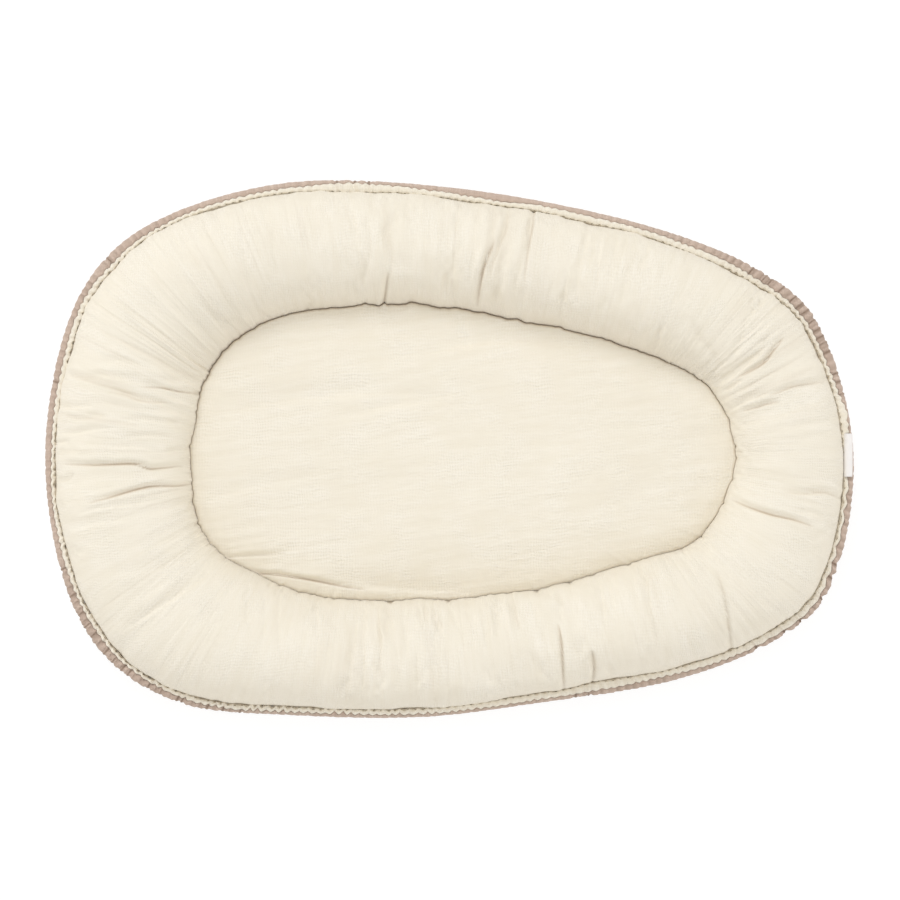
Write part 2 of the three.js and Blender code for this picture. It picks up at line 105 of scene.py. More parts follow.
def noise(x, y, seed, period=256):
    # smooth random heights from -1 to 1 on a lattice of whole numbers
    lattice = np.random.RandomState(seed).uniform(-1, 1, (period, 256))
    i, j = np.floor(x).astype(int), np.floor(y).astype(int)
    u, v = x - i, y - j
    u, v = u * u * (3 - 2 * u), v * v * (3 - 2 * v)
    i0, i1, j0, j1 = i % period, (i + 1) % period, j % 256, (j + 1) % 256
    low = lattice[i0, j0] * (1 - u) + lattice[i1, j0] * u
    high = lattice[i0, j1] * (1 - u) + lattice[i1, j1] * u
    return low * (1 - v) + high * v


def smooth(value, low, high):
    t = np.clip((value - low) / (high - low), 0, 1)
    return t * t * (3 - 2 * t)


def unit(vectors):
    return vectors / np.maximum(np.linalg.norm(vectors, axis=-1, keepdims=True), 1e-12)


upperPoints = nodePoints("upper_bolster_panel")
seamLow, seamHigh, *_, crownHeight = np.unique(np.round(upperPoints[:, 2], 4))
innerSeam = seamLoop(upperPoints, seamLow, False)
outerSeam = seamLoop(upperPoints, seamHigh, True)
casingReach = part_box("lower_edge_casing")[1].x - upperPoints[:, 0].max()
outerEdge = outerSeam + casingReach * unit(outerSeam - innerSeam)
ringLength = np.linalg.norm(np.roll(outerEdge, -1, 0) - outerEdge, axis=1).sum()

# What the edge looks like round the ring: a place on the edge in the photograph's
# pixels, then in millimetres the width of the cream strip, the width of the taupe
# band, how deep its pleats are and how far the strip winds.
edgeLooks = [
    ((45, 450), 3.4, 8.0, 0.9, 0.5),
    ((48, 500), 3.8, 5.8, 0.9, 0.5),
    ((60, 560), 5.0, 7.2, 1.0, 0.6),
    ((72, 600), 4.0, 9.0, 1.7, 0.5),
    ((95, 636), 4.0, 10.5, 1.9, 0.5),
    ((130, 678), 3.4, 9.0, 1.7, 0.5),
    ((180, 704), 4.8, 7.0, 1.4, 0.9),
    ((215, 708), 4.6, 5.4, 1.2, 1.8),
    ((260, 714), 4.6, 4.6, 0.8, 2.4),
    ((350, 719), 4.6, 5.0, 0.7, 2.0),
    ((430, 717), 5.2, 4.2, 0.6, 1.2),
    ((500, 707), 6.4, 4.0, 0.5, 0.6),
    ((560, 699), 6.2, 4.6, 0.6, 0.6),
    ((600, 693), 9.0, 6.0, 1.2, 0.8),
    ((660, 681), 6.0, 7.4, 0.9, 0.5),
    ((720, 662), 7.0, 5.2, 1.0, 0.6),
    ((760, 646), 7.0, 5.2, 1.2, 0.7),
    ((800, 615), 6.6, 6.0, 1.4, 0.8),
    ((835, 575), 5.0, 7.0, 1.6, 1.0),
    ((850, 530), 3.2, 7.6, 1.6, 1.6),
    ((853, 500), 4.0, 6.4, 1.6, 1.6),
    ((854, 455), 5.0, 6.0, 0.8, 0.5),
    ((852, 410), 8.4, 2.6, 1.0, 1.2),
    ((846, 385), 4.6, 7.4, 1.4, 0.8),
    ((835, 350), 4.0, 9.8, 1.9, 0.6),
    ((800, 308), 4.4, 11.6, 2.0, 0.5),
    ((760, 276), 6.0, 10.4, 1.7, 0.5),
    ((700, 243), 7.0, 8.0, 1.0, 0.4),
    ((640, 222), 6.4, 6.4, 0.5, 0.4),
    ((590, 212), 7.0, 6.6, 0.4, 0.3),
    ((540, 201), 6.8, 5.6, 0.3, 0.3),
    ((505, 193), 4.6, 9.0, 0.3, 0.3),
    ((460, 187), 6.0, 7.4, 0.3, 0.3),
    ((400, 183), 7.2, 4.6, 0.5, 0.4),
    ((350, 181), 10.4, 3.6, 0.6, 0.4),
    ((300, 183), 5.4, 6.8, 0.5, 0.5),
    ((250, 189), 5.0, 6.8, 0.5, 0.5),
    ((200, 205), 4.2, 7.0, 0.6, 0.5),
    ((150, 231), 4.0, 8.8, 0.9, 0.5),
    ((112, 262), 4.6, 10.4, 1.2, 0.5),
    ((85, 300), 5.8, 7.0, 1.2, 0.6),
    ((60, 360), 5.4, 8.0, 1.1, 0.6),
    ((50, 400), 5.0, 7.2, 1.0, 0.6),
]


def edgeValues(count):
    # the columns of edgeLooks at evenly spaced stations, in metres
    edge = between(outerEdge, count, True)
    pixels = inPhoto(np.column_stack([edge, np.full(count, photo["planeHeight"])]))
    places = [np.argmin(np.hypot(*(pixels - np.array(row[0])).T)) for row in edgeLooks]
    columns = np.array([row[1:] for row in edgeLooks]).T
    return [np.interp(np.arange(count), places, column, period=count) * mm for column in columns]


def gridFaces(rows, columns, closed=True):
    # faces between closed rings of points, the last ring joined to the first one or not
    i, j = np.meshgrid(np.arange(rows if closed else rows - 1), np.arange(columns), indexing="ij")
    here, after, k = i * columns, (i + 1) % rows * columns, (j + 1) % columns
    return np.stack([here + j, here + k, after + k, after + j], -1).reshape(-1, 4)


def fanFaces(first, size, middle, turned=False):
    # triangles between a ring of points, numbered from first, and a point in its middle
    j = np.arange(size)
    k = (j + 1) % size
    a, b = (k, j) if turned else (j, k)
    return np.stack([first + a, first + b, np.full(size, middle)], -1)


def gridNormals(grid):
    along = np.roll(grid, -1, 0) - np.roll(grid, 1, 0)
    return unit(np.cross(np.gradient(grid, axis=1), along))


def addObject(name, data):
    made = bpy.data.objects.new(name, data)
    bpy.context.collection.objects.link(made)
    return made


def addMesh(name, points, faceSets, finish, **maps):
    # maps: UV maps by name, each with a place for every point or for every corner, and
    # the shade painted into the colour at each point in folds, creases and seams, from 0 to 1
    hollow = maps.pop("hollow", None)
    mesh = bpy.data.meshes.new(name)
    corners = np.concatenate([faces.ravel() for faces in faceSets]).astype(np.int32)
    counts = np.concatenate([np.full(len(faces), faces.shape[1]) for faces in faceSets])
    mesh.vertices.add(len(points))
    mesh.vertices.foreach_set("co", np.asarray(points, np.float32).ravel())
    mesh.loops.add(len(corners))
    mesh.loops.foreach_set("vertex_index", corners)
    mesh.polygons.add(len(counts))
    mesh.polygons.foreach_set("loop_start", (np.cumsum(counts) - counts).astype(np.int32))
    mesh.update(calc_edges=True)
    mesh.polygons.foreach_set("use_smooth", np.ones(len(counts), bool))
    for mapName, places in maps.items():
        places = places.reshape(-1, 2)
        places = places[corners] if len(places) == len(points) else places
        mesh.uv_layers.new(name=mapName).data.foreach_set("uv", places.astype(np.float32).ravel())
    if hollow is not None:
        layer = mesh.attributes.new("hollow", "FLOAT", "POINT")
        layer.data.foreach_set("value", hollow.astype(np.float32).ravel())
    mesh.materials.append(finish)
    mesh.validate()
    return addObject(name, mesh)


def volume(points, faceSets):
    total = 0
    for faces in faceSets:
        for k in range(1, faces.shape[1] - 1):
            a, b, c = (points[faces[:, n]] for n in (0, k, k + 1))
            total += (a * np.cross(b, c)).sum() / 6
    return total


def facedOut(points, faceSets):
    return [faces[:, ::-1] for faces in faceSets] if volume(points, faceSets) < 0 else faceSets


def makePiece(name, points, faceSets, finish, slotName, **maps):
    piece = addMesh(name, points, faceSets, finish, **maps)
    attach(piece, "cover")
    held = volume(points, faceSets) * 1e6
    print(f"  {name}: {len(points)} points, {sum(map(len, faceSets))} faces, {held:.1f} cubic centimetres")
    return piece


def loopPiece(name, loop, finish, slotName, **maps):
    # a closed piece that goes all round the lounger, from a grid of stations and points
    return makePiece(name, loop.reshape(-1, 3), [gridFaces(*loop.shape[:2])], finish, slotName, **maps)


def loftPiece(name, rings, finish, slotName, creaseTurn=False):
    # a closed piece through rings of points, its first and last ring filled in
    count, size = rings.shape[:2]
    points = np.concatenate([rings.reshape(-1, 3), rings[:1].mean(1), rings[-1:].mean(1)])
    ends = [fanFaces(0, size, count * size, True), fanFaces(count * size - size, size, count * size + 1)]
    faceSets = facedOut(points, [gridFaces(count, size, False), np.concatenate(ends)])
    plan = points[:, :2]
    return makePiece(name, points, faceSets, finish, slotName,
                     cloth=plan, creases=plan[:, ::-1] if creaseTurn else plan)


def creaseMap(run):
    # metres round the ring and across it, for each corner of a closed grid
    rows, columns = run.shape
    station = np.repeat(np.arange(rows), columns)[:, None]
    around = (station + [0, 0, 1, 1]) / rows * ringLength
    return np.stack([around, run.ravel()[gridFaces(rows, columns)]], -1).reshape(-1, 2)


print("stage: finishes")


def addNode(tree, kind, inputs=None, **settings):
    made = tree.nodes.new(kind)
    for key, value in settings.items():
        setattr(made, key, value)
    for key, value in (inputs or {}).items():
        if isinstance(value, bpy.types.NodeSocket):
            tree.links.new(value, made.inputs[key])
        else:
            made.inputs[key].default_value = value
    return made


def newFinish(name, roughness, sheen=0.0):
    finish = bpy.data.materials.new(name)
    finish.use_nodes = True
    shader = finish.node_tree.nodes["Principled BSDF"]
    shader.inputs["Roughness"].default_value = roughness
    shader.inputs["Specular IOR Level"].default_value = 0.2
    if sheen:
        shader.inputs["Sheen Weight"].default_value = sheen
        shader.inputs["Sheen Roughness"].default_value = 0.6
    return finish, finish.node_tree, shader


def maths(tree, operation, *values, **settings):
    inputs = dict(enumerate(values))
    return addNode(tree, "ShaderNodeMath", inputs, operation=operation, **settings).outputs[0]


def layered(tree, pattern, *layers):
    # a pattern with shares of others added
    for other, share in layers:
        pattern = maths(tree, "MULTIPLY_ADD", other, share, pattern)
    return pattern


def mixed(tree, share, first, second):
    made = addNode(tree, "ShaderNodeMix", {0: share, 6: first, 7: second}, data_type="RGBA")
    return made.outputs[2]


def inMillimetres(tree, place):
    return addNode(tree, "ShaderNodeMapping", {"Vector": place, "Scale": (1000, 1000, 1000)}).outputs[0]


def ownPlace(tree):
    return inMillimetres(tree, addNode(tree, "ShaderNodeTexCoord").outputs["Object"])


def bands(tree, place, direction, pitch, wander):
    # threads side by side, pitch in millimetres
    return addNode(tree, "ShaderNodeTexWave", {
        "Vector": place, "Scale": math.pi / 10 / pitch, "Distortion": wander,
        "Detail": 2.0, "Detail Scale": 0.6,
    }, bands_direction=direction).outputs["Fac"]


def woven(tree, place, pitches, wander, operation="MULTIPLY"):
    # threads both ways, with a pitch for each and one wander or two
    wanders = wander if isinstance(wander, tuple) else (wander, wander)
    threads = [bands(tree, place, *row) for row in zip("XY", pitches, wanders)]
    return maths(tree, operation, *threads)


def grain(tree, place, scale, detail=3.0):
    moved = addNode(tree, "ShaderNodeMapping", {"Vector": place, "Scale": scale}).outputs[0]
    inputs = {"Vector": moved, "Scale": 1.0, "Detail": detail}
    return addNode(tree, "ShaderNodeTexNoise", inputs).outputs["Fac"]


def dress(tree, shader, colour, height, strength, distance):
    bump = addNode(tree, "ShaderNodeBump", {"Height": height, "Strength": strength, "Distance": distance})
    tree.links.new(colour, shader.inputs["Base Color"])
    tree.links.new(bump.outputs[0], shader.inputs["Normal"])


gauze = {
    "roughness": 0.95,
    "sheen": 0.12,
    "threadPitch": (1.15, 1.2305),      # millimetres, both ways
    "threadWander": 1.6,
    # threadGap: shade painted in the deep colour into the gaps between the threads
    "threadGap": 0.16,
    "checkPitch": (3.1, 3.875),         # the slack check of the two layers, millimetres
    "checkWander": (7.0, 8.0),
    "patches": (0.15, 1.1),             # how much of the check and of the fine creases shows
    "patchGrain": (0.022, 0.022, 1),    # each grain's cells on a millimetre, both ways
    "fineGrain": (0.5, 0.045, 1),
    "broadGrain": (0.13, 0.016, 1),
    "slubGrain": (0.1, 0.9, 1),
    "toneGrain": (0.012, 0.012, 1),
    "relief": (1.2, 0.4, 0.28, 0.16),   # how high broad creases, slubs, check and weave are
    "tone": 0.2,                        # what tone does to the colour, and fine creases, broad creases and check, as shade painted into their low parts
    "tint": (0.42, 0.40, 0.11),         # and fine creases, broad creases and check
    "tintRange": (0.42, 0.80),          # the shade up to the first, the colour from the second
    "bumpStrength": 0.8,
    "bump": 0.8 * mm,
}


def gauzeFinish(name, colour, shade, deep):
    finish, tree, shader = newFinish(name, gauze["roughness"], gauze["sheen"])
    place, lie = (inMillimetres(tree, addNode(tree, "ShaderNodeUVMap", uv_map=key).outputs[0])
                  for key in ("cloth", "creases"))
    weave = woven(tree, place, gauze["threadPitch"], gauze["threadWander"])
    check = woven(tree, place, gauze["checkPitch"], gauze["checkWander"], "ADD")
    patches = addNode(tree, "ShaderNodeMapRange", {
        "Value": grain(tree, place, gauze["patchGrain"], 2.0), "From Min": 0.38, "From Max": 0.62,
        "To Min": gauze["patches"][0], "To Max": gauze["patches"][1],
    }).outputs[0]
    check = maths(tree, "MULTIPLY", check, patches)
    fine = maths(tree, "SUBTRACT", grain(tree, lie, gauze["fineGrain"], 4.0), 0.5)
    fine = maths(tree, "MULTIPLY_ADD", fine, patches, 0.5)
    broad = grain(tree, lie, gauze["broadGrain"])
    slub = grain(tree, place, gauze["slubGrain"])
    height = layered(tree, fine, *zip((broad, slub, check, weave), gauze["relief"]))
    amount = maths(tree, "MULTIPLY", grain(tree, place, gauze["toneGrain"], 4.0), gauze["tone"])
    amount = layered(tree, amount, *zip((fine, broad, check), gauze["tint"]))
    # the colour: random tone, and shade painted into the low parts of the creases and of the check
    ramp = addNode(tree, "ShaderNodeValToRGB", {"Fac": amount})
    for stop, position, tint in zip(ramp.color_ramp.elements, gauze["tintRange"], (shade, colour)):
        stop.position, stop.color = position, (*tint, 1)
    # painted shade in the deep colour: in the gaps between the threads, and wherever the piece carries
    # painted shade
    gap = maths(tree, "SUBTRACT", gauze["threadGap"], weave, use_clamp=True)
    hollow = addNode(tree, "ShaderNodeAttribute", attribute_name="hollow").outputs["Fac"]
    gap = maths(tree, "ADD", gap, hollow, use_clamp=True)
    tint = mixed(tree, gap, ramp.outputs[0], (*deep, 1))
    dress(tree, shader, tint, height, gauze["bumpStrength"], gauze["bump"])
    return finish


# each gauze: its colour, a darker colour painted as shade into crease valleys with some random tone, and a
# deep brown painted as shade into seams, folds and thread gaps
creamGauze = gauzeFinish("creamGauze", (0.925, 0.883, 0.79), (0.855, 0.802, 0.685), (0.42, 0.31, 0.21))
taupeGauze = gauzeFinish("taupeGauze", (0.66, 0.535, 0.455), (0.55, 0.43, 0.36), (0.30, 0.22, 0.17))

plain = {"wander": 0.8, "weave": 0.5, "grain": (0.2, 0.2, 0.2), "bumpStrength": 0.6, "bump": 0.2 * mm}


def plainCloth(name, colour, shade, pitch, roughness=0.9):
    finish, tree, shader = newFinish(name, roughness)
    place = ownPlace(tree)
    weave = woven(tree, place, (pitch, pitch), plain["wander"])
    height = layered(tree, grain(tree, place, plain["grain"]), (weave, plain["weave"]))
    tint = mixed(tree, height, (*shade, 1), (*colour, 1))
    dress(tree, shader, tint, height, plain["bumpStrength"], plain["bump"])
    return finish


whiteCotton = plainCloth("whiteCotton", (0.88, 0.86, 0.81), (0.80, 0.78, 0.72), 0.7)
whiteElastic = plainCloth("whiteElastic", (0.85, 0.83, 0.79), (0.70, 0.68, 0.63), 1.1)
fibreWad = plainCloth("fibreWad", (0.90, 0.90, 0.88), (0.80, 0.80, 0.78), 2.3)
whiteSatin = plainCloth("whiteSatin", (0.90, 0.88, 0.87), (0.86, 0.83, 0.82), 0.35, 0.5)
# The stitch thread is real; its dark brown is painted shade, standing in for the shade in the needle holes
# along the groove.
stitchThreadPaintedShade = plainCloth("stitchThreadPaintedShade", (0.30, 0.25, 0.17), (0.20, 0.165, 0.11), 0.4)

resin = {
    "colour": (0.68, 0.58, 0.50), "shade": (0.53, 0.43, 0.36), "roughness": 0.42, "specular": 0.5,
    "peel": (2.2, 2.2, 2.2), "worn": (0.5, 0.62), "bumpStrength": 0.3, "bump": 0.05 * mm,
}


def resinFinish(name):
    # moulded resin, with a slight orange peel and worn a little paler on its edges
    finish, tree, shader = newFinish(name, resin["roughness"])
    shader.inputs["Specular IOR Level"].default_value = resin["specular"]
    peel = grain(tree, ownPlace(tree), resin["peel"])
    edge = addNode(tree, "ShaderNodeNewGeometry").outputs["Pointiness"]
    worn = addNode(tree, "ShaderNodeMapRange", {
        "Value": edge, "From Min": resin["worn"][0], "From Max": resin["worn"][1],
    }).outputs[0]
    tint = mixed(tree, maths(tree, "MULTIPLY", worn, peel), (*resin["shade"], 1), (*resin["colour"], 1))
    dress(tree, shader, tint, peel, resin["bumpStrength"], resin["bump"])
    return finish


zipResin = resinFinish("zipResin")

print("stage: bolster")

bolster = {
    "simStations": 480,
    "simUpper": 28,
    "simLower": 18,
    "stations": 2400,
    "upperColumns": 56,
    "lowerColumns": 34,
    "innerShare": (0.64, 1.5),   # the nest's side of the crown: full at -Y, rounder at +Y
    "endShare": 0.5,             # and fullest at both ends
    "endDrop": 10 * mm,          # how much lower both ends are
    "endsFrom": (0.2, 0.26),     # where the ends begin, from the middle along X, in metres
    "dropFrom": (0.2, 0.3),
    "rounderFrom": (0.03, 0.12), # where the crown gets rounder, along +Y
    "endsUpTo": 0.04,
    "outerShare": 1.22,
    "underShare": 0.6,
    "groundPress": 6 * mm,
    "cloth": 1.4 * mm,
    "insideEvery": 6,            # the cloth's inside follows each sixth of its columns
    "stuffingInset": 11 * mm,
    "settings": {                # of the cloth simulation
        "quality": 5,
        "mass": 0.2,
        "tension_stiffness": 15,
        "compression_stiffness": 15,
        "shear_stiffness": 5,
        "bending_stiffness": 0.05,
        "use_pressure": True,
        "uniform_pressure_force": 4.0,
        "shrink_min": -0.014,    # the cloth is this share larger than the form
    },
    "frames": 20,
    "swell": 3 * mm,             # the form starts this much smaller, because it swells
    "cap": 5 * mm,               # how far the simulation may move a point
    "calm": 0.3,                 # and it moves less over this share next to the outer seam
    "lowest": 0.2 * mm,
    "wallOut": 2.0 * mm,         # how far the wall round the nest is then drawn outwards
    "wallOutMore": 1.9 * mm,     # and how much more at +X and at -X -Y
    "wallIn": 4.6 * mm,          # and how much less at +Y
}


def bolsterLoop(count, upper, lower):
    # the whole bolster as a grid: over the crown, then back underneath
    inner, edge = between(innerSeam, count, True), between(outerEdge, count, True)
    width = np.linalg.norm(edge - inner, axis=1)
    along = (edge - inner) / width[:, None]
    cream, taupe = edgeValues(count)[:2]
    reach = width - cream - taupe
    over = np.pi * np.arange(upper + 1) / upper
    under = np.pi * np.arange(lower - 1, 0, -1) / lower
    x, y = inner[:, :1], inner[:, 1:]
    full, rounder = bolster["innerShare"]
    ends = smooth(np.abs(x), *bolster["endsFrom"]) * smooth(bolster["endsUpTo"] - y, 0, 0.04)
    share = full + (rounder - full) * smooth(y, *bolster["rounderFrom"]) + (bolster["endShare"] - full) * ends
    share = np.where(over < np.pi / 2, share, bolster["outerShare"])
    seam = np.where(over < np.pi / 2, seamLow, seamHigh)
    drop = bolster["endDrop"] * smooth(np.abs(x), *bolster["dropFrom"])
    crown = crownHeight - bolster["swell"] - drop
    top = seam + (crown - seam) * np.sin(over).clip(0) ** share
    seam = np.where(under < np.pi / 2, seamLow, seamHigh)
    bottom = seam - (seam + bolster["groundPress"]) * np.sin(under) ** bolster["underShare"]
    angles = np.concatenate([over, under])
    height = np.concatenate([top, np.broadcast_to(bottom.clip(0), (count, lower - 1))], 1)
    distance = reach[:, None] * (1 - np.cos(angles)) / 2
    plan = inner[:, None] + along[:, None] * distance[..., None]
    return np.concatenate([plan, height[..., None]], -1)
def relaxed(grid, held):
    # the cloth blown up by its filling, sewn down where it is held
    mesh = bpy.data.meshes.new("bolsterStart")
    mesh.from_pydata(grid.reshape(-1, 3).tolist(), [], gridFaces(*grid.shape[:2]).tolist())
    start = addObject("bolsterStart", mesh)
    group = start.vertex_groups.new(name="held")
    group.add(np.flatnonzero(held.ravel()).tolist(), 1.0, "REPLACE")
    cloth = start.modifiers.new("cloth", "CLOTH")
    for key, value in bolster["settings"].items():
        setattr(cloth.settings, key, value)
    cloth.settings.vertex_group_mass = "held"
    cloth.settings.effector_weights.gravity = 0
    cloth.point_cache.frame_end = bolster["frames"]
    scene = bpy.context.scene
    for step in range(1, bolster["frames"] + 1):
        scene.frame_set(step)
    blown = start.evaluated_get(bpy.context.evaluated_depsgraph_get())
    points = np.empty(grid.size)
    blown.data.vertices.foreach_get("co", points)
    scene.frame_set(1)
    bpy.data.objects.remove(start)
    bpy.data.meshes.remove(mesh)
    move = points.reshape(grid.shape) - grid
    size = np.linalg.norm(move, axis=-1, keepdims=True)
    print(f"  cloth moved up to {size.max() / mm:.1f} mm, {size.mean() / mm:.1f} mm on the whole")
    column = np.arange(grid.shape[1])
    calm = smooth(np.abs(column - bolster["simUpper"]) / bolster["simUpper"], 0, bolster["calm"])
    capped = bolster["cap"] * np.tanh(size / bolster["cap"])
    return grid + calm[:, None] * move / np.maximum(size, 1e-9) * capped


coarse = bolsterLoop(bolster["simStations"], bolster["simUpper"], bolster["simLower"])
held = np.zeros(coarse.shape[:2], bool)
held[:, [0, bolster["simUpper"]]] = True
coarse = relaxed(coarse, held)
coarse[..., 2] = coarse[..., 2].clip(bolster["lowest"])

# Folds read off the photograph: depth and lift of the banks in millimetres, half
# width in pixels, then the points of the fold in pixels.
bolsterFolds = [
    (2.0, 0.5, 2.0, (384, 312), (385, 300), (388, 274)),
    (1.0, 0.5, 3.4, (386, 290), (392, 262), (384, 225)),
    (4.0, 1.0, 2.3, (477, 308), (481, 282), (484, 268), (489, 254), (495, 240)),
    (2.2, 0.8, 2.6, (490, 281), (493, 264), (499, 246), (506, 228), (508, 207)),
    (2.0, 0.5, 2.2, (536, 204), (534, 214), (531, 234), (528, 252), (524, 284)),
    (1.0, 0.5, 5.0, (497, 305), (502, 280), (508, 250)),
    (1.2, 0.4, 5.0, (455, 312), (452, 285), (455, 250)),
    (0.9, 0.4, 4.0, (586, 241), (578, 270), (577, 298)),
    (1.0, 0.4, 3.0, (568, 263), (564, 298), (559, 324)),
    (1.0, 0.4, 3.0, (525, 245), (519, 273), (514, 298)),
    (0.9, 0.4, 3.0, (602, 234), (598, 263), (596, 288)),
    (0.8, 0.4, 3.0, (661, 324), (659, 340), (652, 356)),
    (1.1, 0.5, 4.0, (690, 316), (697, 334), (711, 352), (724, 372)),
    (0.8, 0.4, 4.0, (349, 198), (352, 220), (363, 245), (372, 266)),
    (0.7, 0.3, 3.0, (365, 212), (370, 237), (372, 262)),
    (0.8, 0.4, 3.0, (275, 227), (273, 252), (277, 280)),
    (0.7, 0.3, 3.0, (241, 227), (245, 263), (250, 290)),
    (0.7, 0.3, 3.0, (212, 318), (228, 322), (243, 328)),
    (2.4, 0.7, 2.0, (736, 378), (751, 371), (764, 363), (772, 353), (779, 344), (784, 337)),
    (1.5, 0.6, 2.8, (720, 384), (735, 374), (749, 363), (760, 353), (768, 340)),
    (2.1, 0.6, 2.2, (770, 396), (782, 391), (792, 387), (807, 384), (828, 381)),
    (2.1, 0.6, 2.0, (741, 412), (755, 408), (768, 404), (780, 402)),
    (1.2, 0.5, 2.4, (728, 412), (741, 404), (753, 398), (768, 394)),
    (1.0, 0.5, 3.0, (732, 362), (741, 345), (745, 328), (750, 314)),
    (1.2, 0.5, 2.4, (750, 289), (755, 304), (753, 314)),
    (1.0, 0.4, 2.2, (759, 290), (762, 302), (760, 312)),
    (1.3, 0.4, 1.8, (722, 392), (731, 388), (741, 380)),
    (2.8, 0.8, 2.2, (732, 500), (751, 508), (772, 515), (794, 520), (814, 527)),
    (1.9, 0.5, 2.4, (783, 492), (805, 494), (826, 493), (843, 499)),
    (0.9, 0.4, 2.2, (794, 512), (812, 514), (826, 519)),
    (1.8, 0.5, 2.2, (716, 568), (724, 594), (728, 616), (731, 641), (733, 650)),
    (1.4, 0.5, 2.6, (641, 565), (647, 584), (650, 609), (656, 634), (656, 656)),
    (2.4, 0.5, 2.0, (558, 624), (562, 648), (564, 690)),
    (2.0, 0.6, 2.0, (592, 650), (595, 670), (592, 683)),
    (1.5, 0.5, 2.4, (511, 592), (516, 616), (520, 632)),
    (0.7, 0.3, 3.0, (598, 576), (603, 608), (606, 632)),
    (0.6, 0.3, 2.6, (485, 608), (486, 632), (487, 652)),
    (1.4, 0.5, 1.8, (377, 604), (379, 623), (381, 636), (381, 656), (379, 680)),
    (1.4, 0.6, 3.6, (358, 612), (356, 625), (354, 647), (351, 665), (347, 690)),
    (1.1, 0.5, 2.6, (366, 608), (364, 632), (364, 654), (363, 682), (360, 702)),
    (0.9, 0.4, 2.0, (373, 606), (375, 632), (377, 647), (375, 672)),
    (0.8, 0.3, 1.8, (387, 604), (390, 615), (393, 628)),
    (0.7, 0.3, 1.8, (420, 606), (423, 622), (427, 638)),
    (0.7, 0.3, 1.8, (433, 603), (439, 620), (445, 638)),
    (0.7, 0.3, 1.8, (450, 606), (455, 618), (460, 632)),
    (0.7, 0.3, 2.4, (404, 606), (406, 632), (407, 660)),
    (0.7, 0.3, 3.0, (417, 650), (418, 676), (417, 702)),
    (0.7, 0.3, 2.4, (431, 630), (436, 650), (438, 676)),
    (0.6, 0.3, 2.4, (395, 640), (398, 664), (397, 690)),
    (0.7, 0.3, 2.4, (249, 582), (247, 610), (250, 642)),
    (0.6, 0.3, 2.4, (263, 588), (265, 620), (262, 652)),
    (0.7, 0.3, 2.4, (280, 592), (279, 630), (282, 668)),
    (0.6, 0.3, 2.4, (316, 602), (318, 634), (315, 668)),
    (1.4, 0.5, 2.6, (68, 373), (80, 378), (94, 379), (107, 375)),
    (1.2, 0.5, 3.0, (97, 365), (118, 362), (136, 365), (154, 370)),
    (1.0, 0.4, 3.0, (118, 379), (144, 383), (165, 383), (190, 382)),
    (2.2, 0.6, 2.0, (142, 387), (162, 388), (181, 392), (200, 394)),
    (2.0, 0.6, 2.4, (108, 392), (126, 395), (138, 400), (153, 402), (174, 403)),
    (1.2, 0.4, 2.4, (62, 408), (77, 407), (92, 405)),
    (1.5, 0.5, 2.4, (66, 416), (79, 419), (91, 418), (104, 415)),
    (0.8, 0.4, 3.0, (144, 413), (165, 411), (190, 416)),
    (1.2, 0.4, 2.4, (91, 373), (107, 376), (126, 378), (148, 375)),
    (1.0, 0.4, 2.4, (58, 434), (77, 433), (91, 430), (120, 428)),
    (1.1, 0.3, 1.8, (56, 445), (62, 443), (68, 441)),
    (0.9, 0.4, 2.2, (78, 514), (107, 507), (136, 504), (157, 500)),
    (0.8, 0.4, 2.2, (115, 424), (140, 420), (165, 423), (188, 420)),
    (0.8, 0.4, 2.2, (120, 440), (145, 436), (170, 438)),
    (1.0, 0.5, 3.0, (88, 443), (111, 447), (136, 447), (158, 451)),
    (0.9, 0.3, 1.8, (166, 452), (178, 450), (190, 449)),
    (3.0, 0.8, 2.0, (62, 464), (83, 465), (104, 465), (128, 464), (140, 465), (150, 469), (166, 468),
     (184, 466)),
    (3.0, 0.8, 2.0, (88, 503), (104, 499), (118, 495), (132, 491), (149, 487), (163, 486), (178, 486),
     (193, 484)),
    (1.5, 0.5, 2.0, (56, 481), (66, 480), (72, 473)),
    (1.8, 0.8, 4.0, (124, 630), (151, 612), (173, 598), (191, 585), (210, 572)),
    (1.2, 0.6, 5.0, (112, 573), (148, 569), (176, 562), (206, 552)),
    (0.8, 0.4, 4.0, (70, 530), (100, 522), (130, 520)),
]


foldShape = {
    "reach": 5,                  # half widths to each side
    "sense": (0.8, -0.6),        # folds are followed this way, with the slow side on the left
    "taper": 0.6,
    "valley": (2.1, 0.7),        # a share of the depth, and the power that it is taken to
    "valleyWidth": (1.7, 0.6),   # half widths on the slow side and on the steep one
    "bank": (1.6, 3.0, 1.4),     # on the slow side: share of the lift, place and half width
    "dark": 0.75,                # how much shade is painted into the deepest and narrowest folds and over how many pixels
    "darkHalf": 0.95,            # and over how many pixels
}


